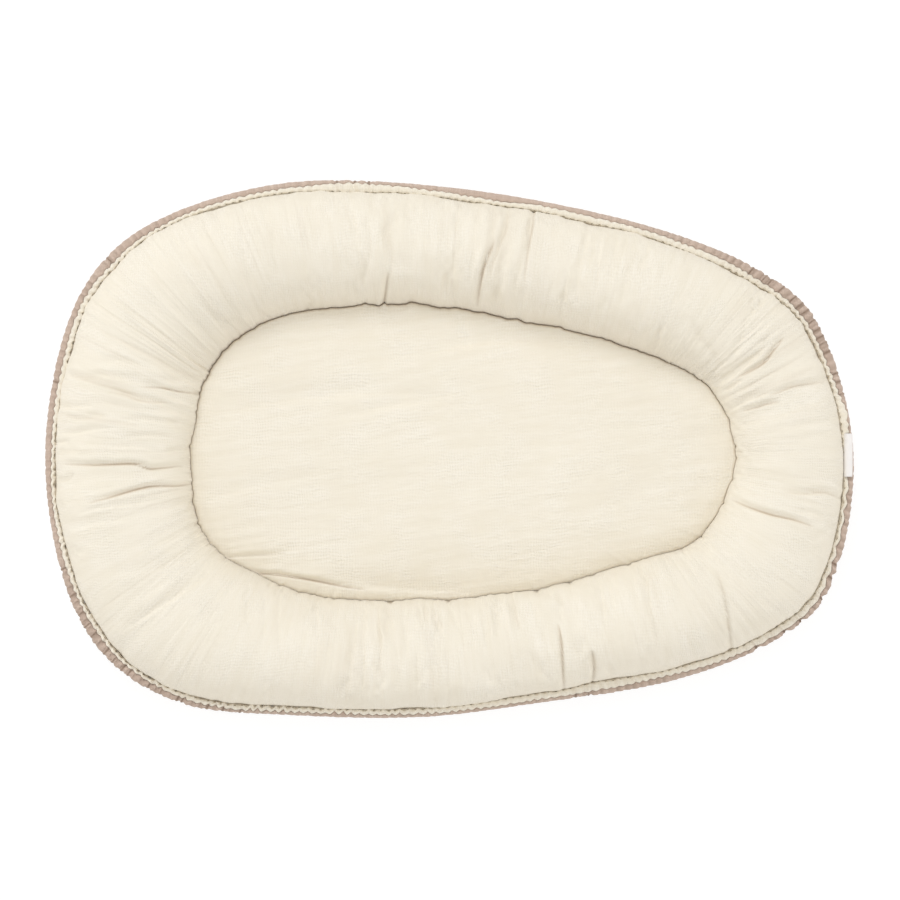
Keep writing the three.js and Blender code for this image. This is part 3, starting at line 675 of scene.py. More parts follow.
def foldHeights(points, folds):
    # how far folds push the points out along their normals, and how much shade is painted
    # into their colour along their lines: on its upper left side a fold rolls over slowly, and it is steep on
    # the other
    pixels = inPhoto(points)
    height, hollow = np.zeros(len(points)), np.zeros(len(points))
    share, power = foldShape["valley"]
    slow, steep = foldShape["valleyWidth"]
    bankShare, bankAt, bankHalf = foldShape["bank"]
    for depth, lift, half, *line in folds:
        line = between(np.array(line, float), 6 * len(line), False)
        reach = foldShape["reach"] * half
        near = np.flatnonzero(((pixels > line.min(0) - reach) & (pixels < line.max(0) + reach)).all(1))
        spot = pixels[near]
        best, at, side = np.full(len(near), 1e9), np.zeros(len(near)), np.zeros(len(near))
        whole = line[-1] - line[0]
        facing = np.sign(foldShape["sense"][0] * whole[0] + foldShape["sense"][1] * whole[1])
        for k, (a, b) in enumerate(zip(line[:-1], line[1:])):
            t = np.clip((spot - a) @ (b - a) / ((b - a) @ (b - a)), 0, 1)
            away = np.linalg.norm(spot - a - t[:, None] * (b - a), axis=1)
            turn = np.sign((b - a)[0] * (spot - a)[:, 1] - (b - a)[1] * (spot - a)[:, 0])
            closer = away < best
            pairs = ((away, best), (k + t, at), (turn * facing, side))
            best, at, side = (np.where(closer, *pair) for pair in pairs)
        taper = np.sin(np.pi * at / (len(line) - 1)).clip(0) ** foldShape["taper"]
        across = best / half * side
        valley = share * depth ** power * np.exp(-(across / np.where(across < 0, slow, steep)) ** 2) * taper
        bank = bankShare * lift * np.exp(-((across + bankAt) / bankHalf) ** 2) * taper
        height[near] += (bank - valley) * mm
        dark = foldShape["dark"] * smooth(depth, 1.0, 3.0) * smooth(3.4 - half, 0.4, 1.4)
        hollow[near] += dark * taper * np.exp(-(best / foldShape["darkHalf"]) ** 2)
    return height, hollow


def ringNoise(shape, pitch, waves, seed):
    # noise round the ring, pitch in metres round it, with a number of waves across
    around = max(4, int(round(ringLength / pitch)))
    x = np.arange(shape[0])[:, None] / shape[0] * around
    y = np.arange(shape[1])[None] / (shape[1] - 1) * waves + 0.5
    return noise(*np.broadcast_arrays(x, y), seed, around)


def clothPlan(grid):
    # flat places of a ring cloth: its seam's place, then outwards by its real length
    steps = np.linalg.norm(np.diff(grid, axis=1), axis=-1)
    run = np.concatenate([np.zeros((len(grid), 1)), np.cumsum(steps, 1)], 1)
    out = unit(grid[:, -1, :2] - grid[:, 0, :2])
    return grid[:, :1, :2] + out[:, None] * run[..., None], run


def ringCloth(name, grid, finish, slotName, hollow):
    # a closed cloth: the outside, and a plainer inside that meets it at the seams
    inside = grid - gridNormals(grid) * bolster["cloth"]
    every = bolster["insideEvery"]
    picked = list(range(every, grid.shape[1] - 1, every))[::-1]
    plan, run = clothPlan(grid)
    plan, run, hollow = (np.concatenate([a, a[:, picked]], 1) for a in (plan, run, hollow))
    return loopPiece(name, np.concatenate([grid, inside[:, picked]], 1), finish, slotName,
                     cloth=plan, creases=creaseMap(run), hollow=hollow)


def regrid(grid, columns):
    grid = between(grid, bolster["stations"], True)
    return between(grid.swapaxes(0, 1), columns, False).swapaxes(0, 1)


def offSeams(across, low, high):
    # 0 at both seams of a cloth and 1 away from them
    return smooth(across, low, high) * smooth(1 - across, low, high)


split = bolster["simUpper"]
upperGrid = regrid(coarse[:, :split + 1], bolster["upperColumns"])
lowerGrid = regrid(np.concatenate([coarse[:, split:], coarse[:, :1]], 1), bolster["lowerColumns"])

shape = upperGrid.shape[:2]
across = np.arange(shape[1])[None] / (shape[1] - 1)
x, y = upperGrid[:, 0, 0], upperGrid[:, 0, 1]
places = np.maximum(smooth(x, 0.27, 0.31), smooth(-x, 0.10, 0.16) * smooth(-y, 0.03, 0.07))
wallOut = bolster["wallOut"] + bolster["wallOutMore"] * places
wallOut -= bolster["wallIn"] * smooth(y, 0.04, 0.12)
wallOut = wallOut[:, None] * smooth(across, 0, 0.05) * (1 - smooth(across, 0.2, 0.6))
out = unit(upperGrid[:, -1, :2] - upperGrid[:, 0, :2])
upperGrid[..., :2] += out[:, None] * wallOut[..., None]
innerSeamAt = upperGrid[:, 0].copy()

creaseLooks = {
    "waves": [  # pitch round the ring, waves across it, height, in metres
        (60 * mm, 2.0, 1.2 * mm),
        (24 * mm, 1.6, 0.8 * mm),
        (12 * mm, 2.0, 0.5 * mm),
        (7 * mm, 2.6, 0.32 * mm),
        (4.4 * mm, 5.0, 0.14 * mm),
    ],
    "patchPitch": 80 * mm,
    "linePitch": 9 * mm,         # of the narrow creases straight over the bolster
    "linePitchWide": 15 * mm,
    "lineHalf": 0.17,
    "lineDepth": 0.36 * mm,
    "puckerPitch": 8 * mm,
    "pucker": 1.0 * mm,          # what the seams draw up
    "lowerPucker": 1.1 * mm,
    "puckerReach": (0.07, 0.06, 0.12),   # from the inner and outer seam and on the lower cloth
    "jagged": 1.3 * mm,          # more of it at the wide end and on the -X half of the -Y side
    "jaggedPitch": 4.6 * mm,
    "unevenPitch": 6.5 * mm,
    "seamPaintedShade": 0.95,            # how much shade is painted in the seam round the floor, broadly on the wall above it at +Y, which faces away from the light, in the outer seam and in the narrow creases
    "wallPaintedShade": 0.20,            # on the wall above it at +Y,
    "outerPaintedShade": 0.15,           # in the outer seam
    "linePaintedShade": 0.035,           # and in the narrow creases
}


def crinkles(shape, seed, boost=1.0):
    # the finer ones come and go in patches, and boost makes those higher
    patches = 0.65 + 0.75 * ringNoise(shape, creaseLooks["patchPitch"], 2.0, seed + 30)
    total = np.zeros(shape)
    for k, (pitch, waves, size) in enumerate(creaseLooks["waves"]):
        share = (1, 0.7 + 0.3 * boost, patches * boost)[min(k, 2)]
        total += ringNoise(shape, pitch, waves, seed + k) * size * share
    return total


def seamDepth(y):
    # the seam round the floor is drawn in most on its +Y side, and most shade is painted into it there
    return 0.3 + 0.7 * smooth(y, 0.02, 0.12)


# Where the photograph shows more creases: place and reach in pixels, and how many more.
gatherSpots = [
    (100, 375, 60, 3.0), (160, 385, 50, 2.4), (105, 440, 60, 2.4), (165, 445, 40, 1.6), (130, 490, 45, 1.5),
    (150, 600, 70, 0.8), (300, 640, 70, 0.6), (400, 655, 55, 2.0), (500, 640, 50, 0.5), (580, 670, 40, 0.6),
    (670, 615, 70, 1.2), (800, 520, 45, 0.6), (795, 440, 50, 1.4), (790, 375, 55, 2.0), (770, 320, 55, 1.4),
    (650, 270, 60, 0.8), (600, 250, 60, 0.6), (495, 250, 65, 2.4), (390, 245, 60, 1.6), (300, 235, 70, 1.6),
    (220, 265, 60, 0.3), (175, 300, 60, 0.6),
]


def gatherBoost(points):
    pixels = inPhoto(points)
    return 1 + sum(more * np.exp(-((pixels - (x, y)) ** 2).sum(-1) / reach ** 2)
                   for x, y, reach, more in gatherSpots)


def creaseLines(shape, pitch, seed):
    # narrow creases straight over the bolster, which come and go
    line = ringNoise(shape, pitch, 0.6, seed)
    shown = smooth(ringNoise(shape, 2.4 * pitch, 2.4, seed + 1), -0.1, 0.5)
    return shown * np.exp(-(line / creaseLooks["lineHalf"]) ** 2)


boost = gatherBoost(upperGrid)
creases = creaseLines(shape, creaseLooks["linePitch"], 81)
creases += creaseLines(shape, creaseLooks["linePitchWide"], 83)
creases *= (0.3 + boost - 1) * offSeams(across, 0.02, 0.2)
crinkle = crinkles(shape, 11, boost) - creaseLooks["lineDepth"] * creases
x, y = innerSeamAt[:, 0], innerSeamAt[:, 1]
jagged = np.maximum(smooth(-x, 0.26, 0.28), smooth(-y, 0.155, 0.165) * smooth(-x, -0.02, 0.0))[:, None]
pucker = creaseLooks["pucker"] * ringNoise(shape, creaseLooks["puckerPitch"], 1.0, 31)
innerReach, outerReach, lowerReach = creaseLooks["puckerReach"]
pucker *= 0.6 * np.exp(-across / innerReach) + np.exp(-(1 - across) / outerReach)
jags = ringNoise(shape, creaseLooks["jaggedPitch"], 0.5, 35)
pucker += creaseLooks["jagged"] * jagged * jags * np.exp(-across / innerReach)
stuffedTop = upperGrid - gridNormals(upperGrid) * bolster["stuffingInset"]
folds, hollow = (a.reshape(shape) for a in foldHeights(upperGrid.reshape(-1, 3), bolsterFolds))
lift = (crinkle + pucker) * offSeams(across, 0, 0.03) + folds * offSeams(across, 0, 0.012)
upperGrid += gridNormals(upperGrid) * lift[..., None]
# Shade painted into the colour: in the seam round the floor, uneven where the seam is jagged, in the outer
# seam and the narrow creases, and broadly on the wall above the seam at +Y, which faces away from the light.
uneven = 1 + jagged * 1.6 * ringNoise(shape, creaseLooks["unevenPitch"], 0.3, 33)
y = upperGrid[:, :1, 1]
hollow += creaseLooks["seamPaintedShade"] * seamDepth(y) * uneven.clip(0.2) * np.exp(-across * 42)
hollow += creaseLooks["outerPaintedShade"] * np.exp(-(1 - across) * 60) + creaseLooks["linePaintedShade"] * creases
hollow += creaseLooks["wallPaintedShade"] * smooth(y, 0.04, 0.13) * np.exp(-(across / 0.2) ** 2)
upperBolster = ringCloth("upperBolster", upperGrid, creamGauze, "cream_gauze", hollow)
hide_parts("upper_bolster_panel")

shape = lowerGrid.shape[:2]
across = np.arange(shape[1])[None] / (shape[1] - 1)
pucker = creaseLooks["lowerPucker"] * ringNoise(shape, creaseLooks["puckerPitch"], 1.0, 51)
lift = (crinkles(shape, 41) + pucker * np.exp(-across / lowerReach)) * offSeams(across, 0, 0.03)
lowerGrid += gridNormals(lowerGrid) * lift[..., None]
lowerGrid[..., 2] = lowerGrid[..., 2].clip(0)
lowerBolster = ringCloth("lowerBolster", lowerGrid, taupeGauze, "taupe_gauze", np.zeros(lowerGrid.shape[:2]))
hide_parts("lower_bolster_panel")

stuffedUnder = lowerGrid - gridNormals(lowerGrid) * bolster["stuffingInset"] / 2
stuffing = np.concatenate([stuffedTop[::4, 6:-6:3], stuffedUnder[::4, 5:-5:3]], 1)
bolsterFilling = loopPiece("bolsterFilling", stuffing, fibreWad, "fibre_filling")
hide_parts("bolster_filling")

print("stage: floor")

floor = {
    "rows": 300,
    "columns": 220,
    "edge": 3.4 * mm,                        # the rounded edge: how far in it reaches,
    "edgeRise": 3.8 * mm,                    # and how far down
    "edgeTop": (37.4 * mm, 31.0 * mm),       # its top, on the +Y and on the -Y side
    "shoulder": (18 * mm, 30 * mm),          # then a gentler slope: about this long
    "shoulderRise": (6.4 * mm, 12.8 * mm),   # and this high
    "dome": 1.2 * mm,
    "cloth": 1.4 * mm,
    "seamGap": 0.15 * mm,
    "seamPaintedShade": 0.95,
    "grainTurn": math.radians(9),
    "waves": [  # pitch along and across the grain and height in millimetres, and seed
        (150, 38, 0.9, 61), (60, 16, 0.5, 62), (28, 8, 0.4, 63), (15, 4.6, 0.26, 64), (6, 14, 0.16, 65),
    ],
    "evenPitch": 100,                        # waves shorter than this come and go in patches
    "wall": [  # down the wall and up again: height and how far in from it, in millimetres
        (31, 0.2), (26, 0.2), (20, 0.2), (15, 0.25), (12, 0.3), (12, 1.8), (20, 2.2), (26, 2.4),
    ],
    "under": (3.6, 8, 20, 50, 90),           # then inwards under the cloth, in millimetres
}
floorFolds = [
    (3.0, 0.2, 1.8, (244, 573), (262, 574), (277, 575), (298, 578), (320, 582), (345, 587), (366, 590)),
    (1.8, 0.2, 7.0, (330, 580), (380, 586), (430, 589), (470, 590)),
    (1.7, 0.3, 2.0, (222, 558), (252, 556), (286, 554)),
    (0.9, 0.5, 7.0, (225, 412), (300, 398), (380, 392), (470, 396)),
    (0.8, 0.4, 5.0, (330, 420), (400, 404), (450, 400)),
    (0.7, 0.4, 6.0, (420, 352), (500, 340), (580, 345)),
    (0.6, 0.3, 4.0, (455, 310), (462, 330), (470, 350)),
    (0.7, 0.4, 5.0, (205, 500), (260, 486), (330, 474)),
]


def discPoints(rows, columns):
    # a square grid laid on a disc, so that it has no pole: angle and share of radius
    u, v = np.meshgrid(np.linspace(-1, 1, rows), np.linspace(-1, 1, columns), indexing="ij")
    x, y = u * np.sqrt(1 - v * v / 2), v * np.sqrt(1 - u * u / 2)
    return np.arctan2(y, x), np.hypot(x, y)


floorCentre = innerSeam.mean(0)


def wallAt(level):
    # the bolster's wall at a height or at one for each station, all round the nest
    wall = upperGrid[:, :upperGrid.shape[1] // 2]
    rows = np.arange(len(wall))
    level = level + np.zeros(len(wall))
    k = np.maximum(np.argmax(wall[..., 2] >= level[:, None], 1), 1)
    a, b = wall[rows, k - 1], wall[rows, k]
    t = np.clip((level - a[:, 2]) / (b[:, 2] - a[:, 2]), 0, 1)[:, None]
    return (a + (b - a) * t)[:, :2]


def polar(plan):
    # direction and distance from the floor's middle
    out = plan - floorCentre
    return np.arctan2(out[..., 1], out[..., 0]), np.hypot(out[..., 0], out[..., 1])


def fromPolar(turn, far):
    return floorCentre + far[..., None] * np.stack([np.cos(turn), np.sin(turn)], -1)


def rimAt(angle, rim):
    # how far a closed line round the floor lies from its middle, in a direction
    turn, far = polar(rim)
    order = np.argsort(turn)
    return np.interp(angle, turn[order], far[order], period=2 * np.pi)


def floorHeight(inwards, share, y):
    # the floor's top at a distance in from the seam, domed towards its middle
    side = smooth(-y, 0, 0.12)
    pairs = (floor["edgeTop"], floor["shoulder"], floor["shoulderRise"])
    top, reach, slope = (a + (b - a) * side for a, b in pairs)
    t = np.clip(1 - inwards / floor["edge"], 0, 1)
    rise = floor["edgeRise"] * seamDepth(y) * (np.sqrt(1 - t * t) - 1)
    rise += slope * (1 - np.exp(-inwards / reach))
    return top + rise + floor["dome"] * (1 - share ** 2)


rimWall = wallAt(floorHeight(0, 1, innerSeamAt[:, 1]))


def underFloor(plan, gap):
    # a height at least this far below the floor's top
    turn, far = polar(plan)
    reach = rimAt(turn, rimWall)
    return floorHeight((reach - far).clip(0), far / reach, plan[..., 1]) - gap


angle, share = discPoints(floor["rows"], floor["columns"])
share = 1 - (1 - share) ** 1.12     # a little closer together near the seam
far = rimAt(angle, rimWall) - floor["seamGap"]
plan = fromPolar(angle, share * far)
inwards = far * (1 - share)
top = np.concatenate([plan, floorHeight(inwards, share, plan[..., 1])[..., None]], -1)
cosine, sine = math.cos(floor["grainTurn"]), math.sin(floor["grainTurn"])
turned = plan @ np.array([[cosine, -sine], [sine, cosine]])
patches = 0.6 + 0.8 * noise(turned[..., 0] / (90 * mm) + 9, turned[..., 1] / (60 * mm) + 9, 60)
for pitchX, pitchY, size, seed in floor["waves"]:
    waves = size * mm * noise(turned[..., 0] / (pitchX * mm), turned[..., 1] / (pitchY * mm), seed)
    top[..., 2] += waves * smooth(inwards, 0, 6 * mm) * (1 if pitchX > floor["evenPitch"] else patches)
# Folds lift the floor, and shade is painted into its colour along them and in the seam round it.
folds, hollow = (a.reshape(share.shape) for a in foldHeights(top.reshape(-1, 3), floorFolds))
top[..., 2] += folds * smooth(inwards, 0, 3 * mm)
hollow += floor["seamPaintedShade"] * seamDepth(plan[..., 1]) * np.exp(-inwards / (1.2 * mm))


def rimWalk(rows, columns):
    # the numbers of the grid's outer points, in order round it
    ids = np.arange(rows * columns).reshape(rows, columns)
    return np.concatenate([ids[:, 0], ids[-1, 1:], ids[-2::-1, -1], ids[0, -2:0:-1]])


def slabPiece(name, top, under, finish, slotName, **maps):
    # a closed piece: a grid on top, and rings of points that close it underneath
    rows, columns = top.shape[:2]
    ids = np.arange(rows * columns).reshape(rows, columns)
    quads = [np.stack([ids[:-1, :-1], ids[1:, :-1], ids[1:, 1:], ids[:-1, 1:]], -1).reshape(-1, 4)]
    rim = rimWalk(rows, columns)
    points = np.concatenate([top.reshape(-1, 3), *under, under[-1].mean(0, keepdims=True)])
    last = rim
    for k in range(len(under)):
        ids = rows * columns + k * len(rim) + np.arange(len(rim))
        quads.append(np.stack([np.roll(last, -1), last, ids, np.roll(ids, -1)], 1))
        last = ids
    fan = np.stack([np.roll(last, -1), last, np.full(len(rim), len(points) - 1)], 1)
    extra = points[rows * columns:, :2]
    hollow = np.concatenate([maps.pop("hollow").ravel(), np.zeros(len(extra))])
    maps = {key: np.concatenate([value.reshape(-1, 2), extra]) for key, value in maps.items()}
    return makePiece(name, points, [np.concatenate(quads), fan], finish, slotName, hollow=hollow, **maps)


def underRings(rim):
    # closed rings round the floor: down the wall and up again, then inwards under it
    turn = polar(rim[:, :2])[0]
    rings = []
    for height, inset in floor["wall"]:
        far = rimAt(turn, wallAt(max(height * mm, seamLow))) - inset * mm
        rings.append(np.column_stack([fromPolar(turn, far), np.full(len(turn), height * mm)]))
    for inset in floor["under"]:
        plan = fromPolar(turn, rimAt(turn, rimWall) - inset * mm)
        rings.append(np.column_stack([plan, underFloor(plan, floor["cloth"] * 2.4)]))
    return rings


rim = top.reshape(-1, 3)[rimWalk(*top.shape[:2])]
upperFloor = slabPiece("upperFloor", top, underRings(rim), creamGauze, "cream_gauze",
                       cloth=plan, creases=turned[..., ::-1], hollow=hollow)
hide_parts("upper_floor_panel")

print("stage: edge casing")

casing = {
    "stations": 3200,
    "middle": 46 * mm,
    "cloth": 1.0 * mm,
    "creamColumns": 14,
    "taupeColumns": 20,
    "pleatPitch": 9.0 * mm,
    "sink": 2.6,              # how deep the pleats are, of what edgeLooks says
    "sinkMost": 3.0 * mm,
    "scallop": 0.4,           # and how far they pull the rim in
    "ripple": 0.3 * mm,
    "valley": 1.1 * mm,
    "valleyShare": 1.5,       # how deep a deep pleat is, of what its table says,
    "notchShare": 0.55,       # and how far it pulls the rim in
    "windPitch": 9.4 * mm,
    "sway": 1.5 * mm,
    "ruffle": 0.25 * mm,
    "bite": 1.3 * mm,         # how far the cream edge comes and goes over the groove
    "lean": 2.4 * mm,         # how far a pleat leans over on a third of its length
    "elasticWidth": 6 * mm,
    "elasticThickness": 1.2 * mm,
    "elasticFlute": 0.35 * mm,
    "elasticFlutes": 420,
}
count = casing["stations"]
inner = between(innerSeam, count, True)
edge = between(outerEdge, count, True)
along = unit(edge - inner)
cream, taupe, pleat, wind = edgeValues(count)
run = np.linalg.norm(np.roll(edge, -1, 0) - edge, axis=1)
run = np.concatenate([[0], np.cumsum(run)[:-1]])


def gathers(pitch, seed, shift=0.0, even=False):
    # 0 in each pleat's valley and up to 1 between them, with uneven pitch and depth
    waves = int(round(ringLength / pitch))
    place = (run + shift) % ringLength / ringLength * waves
    place = (place + 0.35 * noise(place * 0.6, np.full(count, 0.5), seed, int(waves * 0.6))) % waves
    turn = np.floor(place).astype(int)
    part = place - turn
    rise = np.minimum(part / 0.7, 1) ** 0.7 * np.minimum((1 - part) / 0.2, 1)
    rise = 1 - np.abs(2 * part - 1) ** 1.3 if even else rise
    depth = np.random.RandomState(seed).uniform(0.35, 1.0, waves + 1)
    return 1 - (1 - rise) * (depth[turn] * (1 - part) + depth[turn + 1] * part)


# Deep pleats across the taupe band: depth in millimetres, then places in pixels.
deepPleats = [
    (2.6, (750, 269), (768, 282), (790, 300), (811, 319), (821, 334), (833, 347), (840, 370)),
    (1.8, (762, 279), (778, 291), (796, 306), (803, 311), (819, 326), (827, 339), (840, 379), (845, 391)),
    (2.6, (66, 571), (84, 615), (107, 654), (124, 670), (131, 674), (149, 689), (179, 699), (184, 700)),
    (1.8, (75, 597), (91, 626), (96, 636), (114, 663), (162, 694), (210, 703), (225, 707), (242, 708)),
    (5.0, (846, 566), (835, 578), (821, 596), (801, 618), (787, 631), (759, 648)),
    (2.0, (106, 260), (57, 384), (578, 698), (591, 695), (335, 181), (353, 181), (367, 182)),
]


edgePixels = inPhoto(np.column_stack([edge, np.full(count, casing["middle"])]))
deepRuns = [(deep * mm, run[np.argmin(np.hypot(*(edgePixels - place).T))])
            for deep, *places in deepPleats for place in places]


def awayFrom(at, shift=0.0):
    # distances round the ring from a place
    return np.abs((run + shift - at + ringLength / 2) % ringLength - ringLength / 2)


def pleatValleys(shift, width=1.0):
    depth = np.zeros(count)
    for deep, at in deepRuns:
        across = awayFrom(at, shift) / (casing["valley"] * width)
        depth += casing["valleyShare"] * deep * np.exp(-across ** 2)
    return depth


def rimNotches():
    # the rim is drawn in beside the deepest pleats, which leaves lobes between them
    depth = np.zeros(count)
    for deep, at in deepRuns:
        depth += casing["notchShare"] * deep * np.exp(-(awayFrom(at) / (0.7 * deep)) ** 2)
    return depth


def runNoise(pitch, row, seed):
    # noise along the edge, pitch in metres
    return noise(run / pitch, np.full(count, row), seed)


def sinkAt(shift, share):
    # how far the pleats sink the band, on a line that is shifted along it
    ripple = noise((run + shift) / (2.7 * mm), np.full(count, 7.5 + share), 75)
    deep = casing["sink"] * pleat * (1 - gathers(casing["pleatPitch"], 71, shift)) + pleatValleys(shift)
    return share * (casing["sinkMost"] * np.tanh(deep / casing["sinkMost"]) + casing["ripple"] * ripple)


winds = gathers(casing["windPitch"], 72, even=True)
loose = smooth(edge[:, 0], 0.30, 0.36) * smooth(-edge[:, 1], 0.02, 0.05)     # longer waves at +X -Y
winds += loose * (gathers(2.1 * casing["windPitch"], 76, even=True) - winds)
ruffle = runNoise(3.4 * mm, 0.5, 73)
total = cream + taupe
sway = (casing["sway"] + 1.4 * wind) * (winds - 0.6) + casing["ruffle"] * ruffle
# The cream edge covers the groove in some places and leaves it open in others.
rough = 0.3 + 0.7 * smooth(-edge[:, 0], 0.28, 0.36)
rough += 0.5 * smooth(-edge[:, 1], 0.2, 0.26) * smooth(-edge[:, 0], 0, 0.1)
covered = runNoise(3.3 * mm, 9.5, 78) + 0.6 * runNoise(1.7 * mm, 11.5, 79)
bite = casing["bite"] * rough * covered
lean = casing["lean"]
outerWave = casing["scallop"] * (1.2 * pleat - sinkAt(2 * lean, 1.0)) - rimNotches()
outerWave += casing["ruffle"] * runNoise(6 * mm, 3.5, 74)


def atStations(outwards, height):
    return np.stack([outwards + np.zeros(count), height + np.zeros(count)], -1)


def fromGroove(lines):
    # places by their distance outwards from the groove and their height in the casing
    spot = (edge - along * total[:, None])[:, None] + along[:, None] * lines[..., :1]
    return np.concatenate([spot, casing["middle"] + lines[..., 1:]], -1)


def casingPiece(name, loop, finish, slotName, **maps):
    points = fromGroove(loop)
    piece = loopPiece(name, points, finish, slotName,
                      cloth=points[..., :2], creases=creaseMap(loop[..., 0]), **maps)
    return piece, points


def casingStrip(name, profile, columns, finish, slotName, hollow, groove):
    # profile: rows of distance outwards from the groove and height, each an array
    rows = np.stack([atStations(*row) for row in profile])
    line = between(rows, columns, False).swapaxes(0, 1)
    steps = np.gradient(line, axis=1)
    normal = unit(np.stack([-steps[..., 1], steps[..., 0]], -1))
    back = (line - normal * casing["cloth"])[:, 1:-1:2][:, ::-1]
    loop = np.concatenate([line, back], 1)
    # shade painted into the colour: the given amount, and more along the groove at the strip's inner edge
    dark = hollow[:, None] + groove * np.exp(-(loop[..., 0] - loop[:, :1, 0]).clip(0) / (0.9 * mm))
    piece, points = casingPiece(name, loop, finish, slotName, hollow=dark)
    return piece


creamProfile = [
    (-1.4 * mm + 0.3 * sway + bite, 1.8 * mm),
    (-0.4 * mm + 0.7 * sway + bite, 4.0 * mm - 0.4 * bite),
    (0.4 * mm + 0.9 * sway + 0.6 * bite, 5.8 * mm + 0.4 * sway - 0.5 * bite),
    (0.3 * cream + sway, 6.8 * mm + 0.5 * sway - sinkAt(0, 0.3)),
    (0.65 * cream + sway, 7.0 * mm + 0.5 * sway - sinkAt(0, 0.4)),
    (0.95 * cream + sway, 6.2 * mm + 0.5 * sway - sinkAt(0, 0.4)),
    (1.05 * cream + sway, 4.4 * mm + 0.4 * sway),
]
taupeProfile = [
    (cream - 0.8 * mm + sway, 2.0 * mm),
    (cream + 0.3 * mm + sway, 4.6 * mm - sinkAt(0, 0.6)),
    (cream + 0.4 * taupe + 0.5 * sway, 5.2 * mm - sinkAt(lean, 1.0)),
    (cream + 0.8 * taupe + outerWave, 3.6 * mm - sinkAt(2 * lean, 0.9)),
    (total + outerWave, -0.4 * mm),
    (total - 1.2 * mm + outerWave, -3.8 * mm + sinkAt(2.5 * lean, 0.5)),
    (0.62 * total, -5.2 * mm + sinkAt(2.5 * lean, 0.5)),
    (0.3 * total, -4.4 * mm),
    (0.3 * mm, -1.4 * mm),
]
# Shade painted into the casing's colour: in the pleat valleys and slits, and along the groove, less where the
# waves are longer.
valleys = sinkAt(lean, 1.0).clip(0)
slits = 0.5 * (pleatValleys(lean, 0.7) / (4 * mm)).clip(0, 1)
groove = 0.6 * (1 - 0.6 * loose[:, None])
upperCasing = casingStrip("upperCasing", creamProfile, casing["creamColumns"], creamGauze, "cream_gauze",
                          valleys / (12 * mm), groove)
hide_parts("upper_edge_casing")
lowerCasing = casingStrip("lowerCasing", taupeProfile, casing["taupeColumns"], taupeGauze, "taupe_gauze",
                          valleys / (4.5 * mm) + slits, 0.2)
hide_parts("lower_edge_casing")

# The elastic is drawn a little narrower where the casing is.
half = np.minimum(casing["elasticWidth"] / 2, 0.26 * total)
middle = total * 0.5
flute = casing["elasticFlute"] * np.sin(run / ringLength * 2 * np.pi * casing["elasticFlutes"])
thick = casing["elasticThickness"] / 2
corners = [(-1, -1), (0, -1.1), (1, -1), (1.06, 0), (1, 1), (0, 1.1), (-1, 1), (-1.06, 0)]
loop = np.stack([atStations(middle + a * half, flute + b * thick) for a, b in corners[::-1]], 1)
edgeElastic = casingPiece("edgeElastic", loop, whiteElastic, "white_elastic")[0]
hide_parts("edge_elastic")

print("stage: label")

label = {
    "rows": 44,
    "columns": 16,
    "thickness": 0.55 * mm,
    "profile": [(0, 50.8), (0.12, 53.6), (0.35, 55.0), (0.65, 54.9), (0.9, 53.6), (1, 52.4)],  # share, mm
    "curl": 0.7 * mm,         # how far its corners lift
    "round": 0.5 * mm,
    "wave": 0.35 * mm,
    "wavePitch": 11 * mm,
}
low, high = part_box("side_label")
profile = between(np.array(label["profile"], float), label["columns"], False)
rings = []
for v in np.linspace(-1, 1, label["rows"]):
    y = (low.y + high.y) / 2 + v * (high.y - low.y) / 2
    wave = label["wave"] * noise(np.array([y / label["wavePitch"]]), np.array([0.5]), 91)[0]
    lift = label["curl"] * v ** 6 + wave
    x = low.x + profile[:, 0] * (high.x - low.x) - label["round"] * v ** 8 * profile[:, 0]
    upper = np.column_stack([x, np.full(len(x), y), profile[:, 1] * mm + lift * profile[:, 0] ** 0.5])
    rings.append(np.concatenate([upper, upper[::-1] - [0, 0, label["thickness"]]]))
rings = np.array(rings)
sideLabel = loftPiece("sideLabel", rings, whiteSatin, "white_satin")
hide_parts("side_label")

print("stage: mattress")

mattress = {
    "stations": 240,
    "lumps": 0.7 * mm,
    "lumpPitch": 38 * mm,
    "cloth": 1.0 * mm,
    "mouth": 130 * mm,
    "clear": 2.6 * mm,        # at least this far from the bolster's wall
    "below": 4.4 * mm,        # and this far below the floor's top
    "coreInset": 1.4 * mm,    # the core lies this much further from the wall
    "coreBelow": 1.6 * mm,    # and from the floor's top
    "levels": (14, 20, 26, 32),     # heights at which it keeps clear of the wall, millimetres
    "edge": [(0, 22.0), (0.5, 12.0), (1.7, 6.5), (3.6, 2.8), (6.5, 0.6)],  # height and inset, mm
    "flat": (110, 70, 40),          # then rings this far in, millimetres
}


def nodeOutline(name, clear):
    # a flat node's outline, evenly numbered, with the wide end half way round
    points = nodePoints(name)
    rim = points[np.abs(points[:, 2] - points[:, 2].min()) < 0.2 * mm][:, :2]
    out = rim - floorCentre
    rim = between(rim[np.argsort(np.arctan2(-out[:, 1], -out[:, 0]))], mattress["stations"], True)
    turn, far = polar(rim)
    for level in mattress["levels"]:
        far = np.minimum(far, rimAt(turn, wallAt(level * mm)) - clear)
    return fromPolar(turn, far)


def padRings(outline, rows, gap):
    # rows: height and how far in from the outline, with lumps where it is flat; all of
    # it stays this gap below the floor's top
    out = outline - floorCentre
    far = np.linalg.norm(out, axis=1, keepdims=True)
    rings, lowest = [], min(height for height, inset in rows)
    for height, inset in rows:
        plan = floorCentre + out * (1 - inset / far)
        lumps = noise(*(plan / mattress["lumpPitch"] + 40).T, 95)
        lift = mattress["lumps"] * lumps * smooth(inset, 1 * mm, 8 * mm)
        z = np.minimum((height + lift).clip(lowest), underFloor(plan, gap))
        rings.append(np.column_stack([plan, z]))
    return np.array(rings)


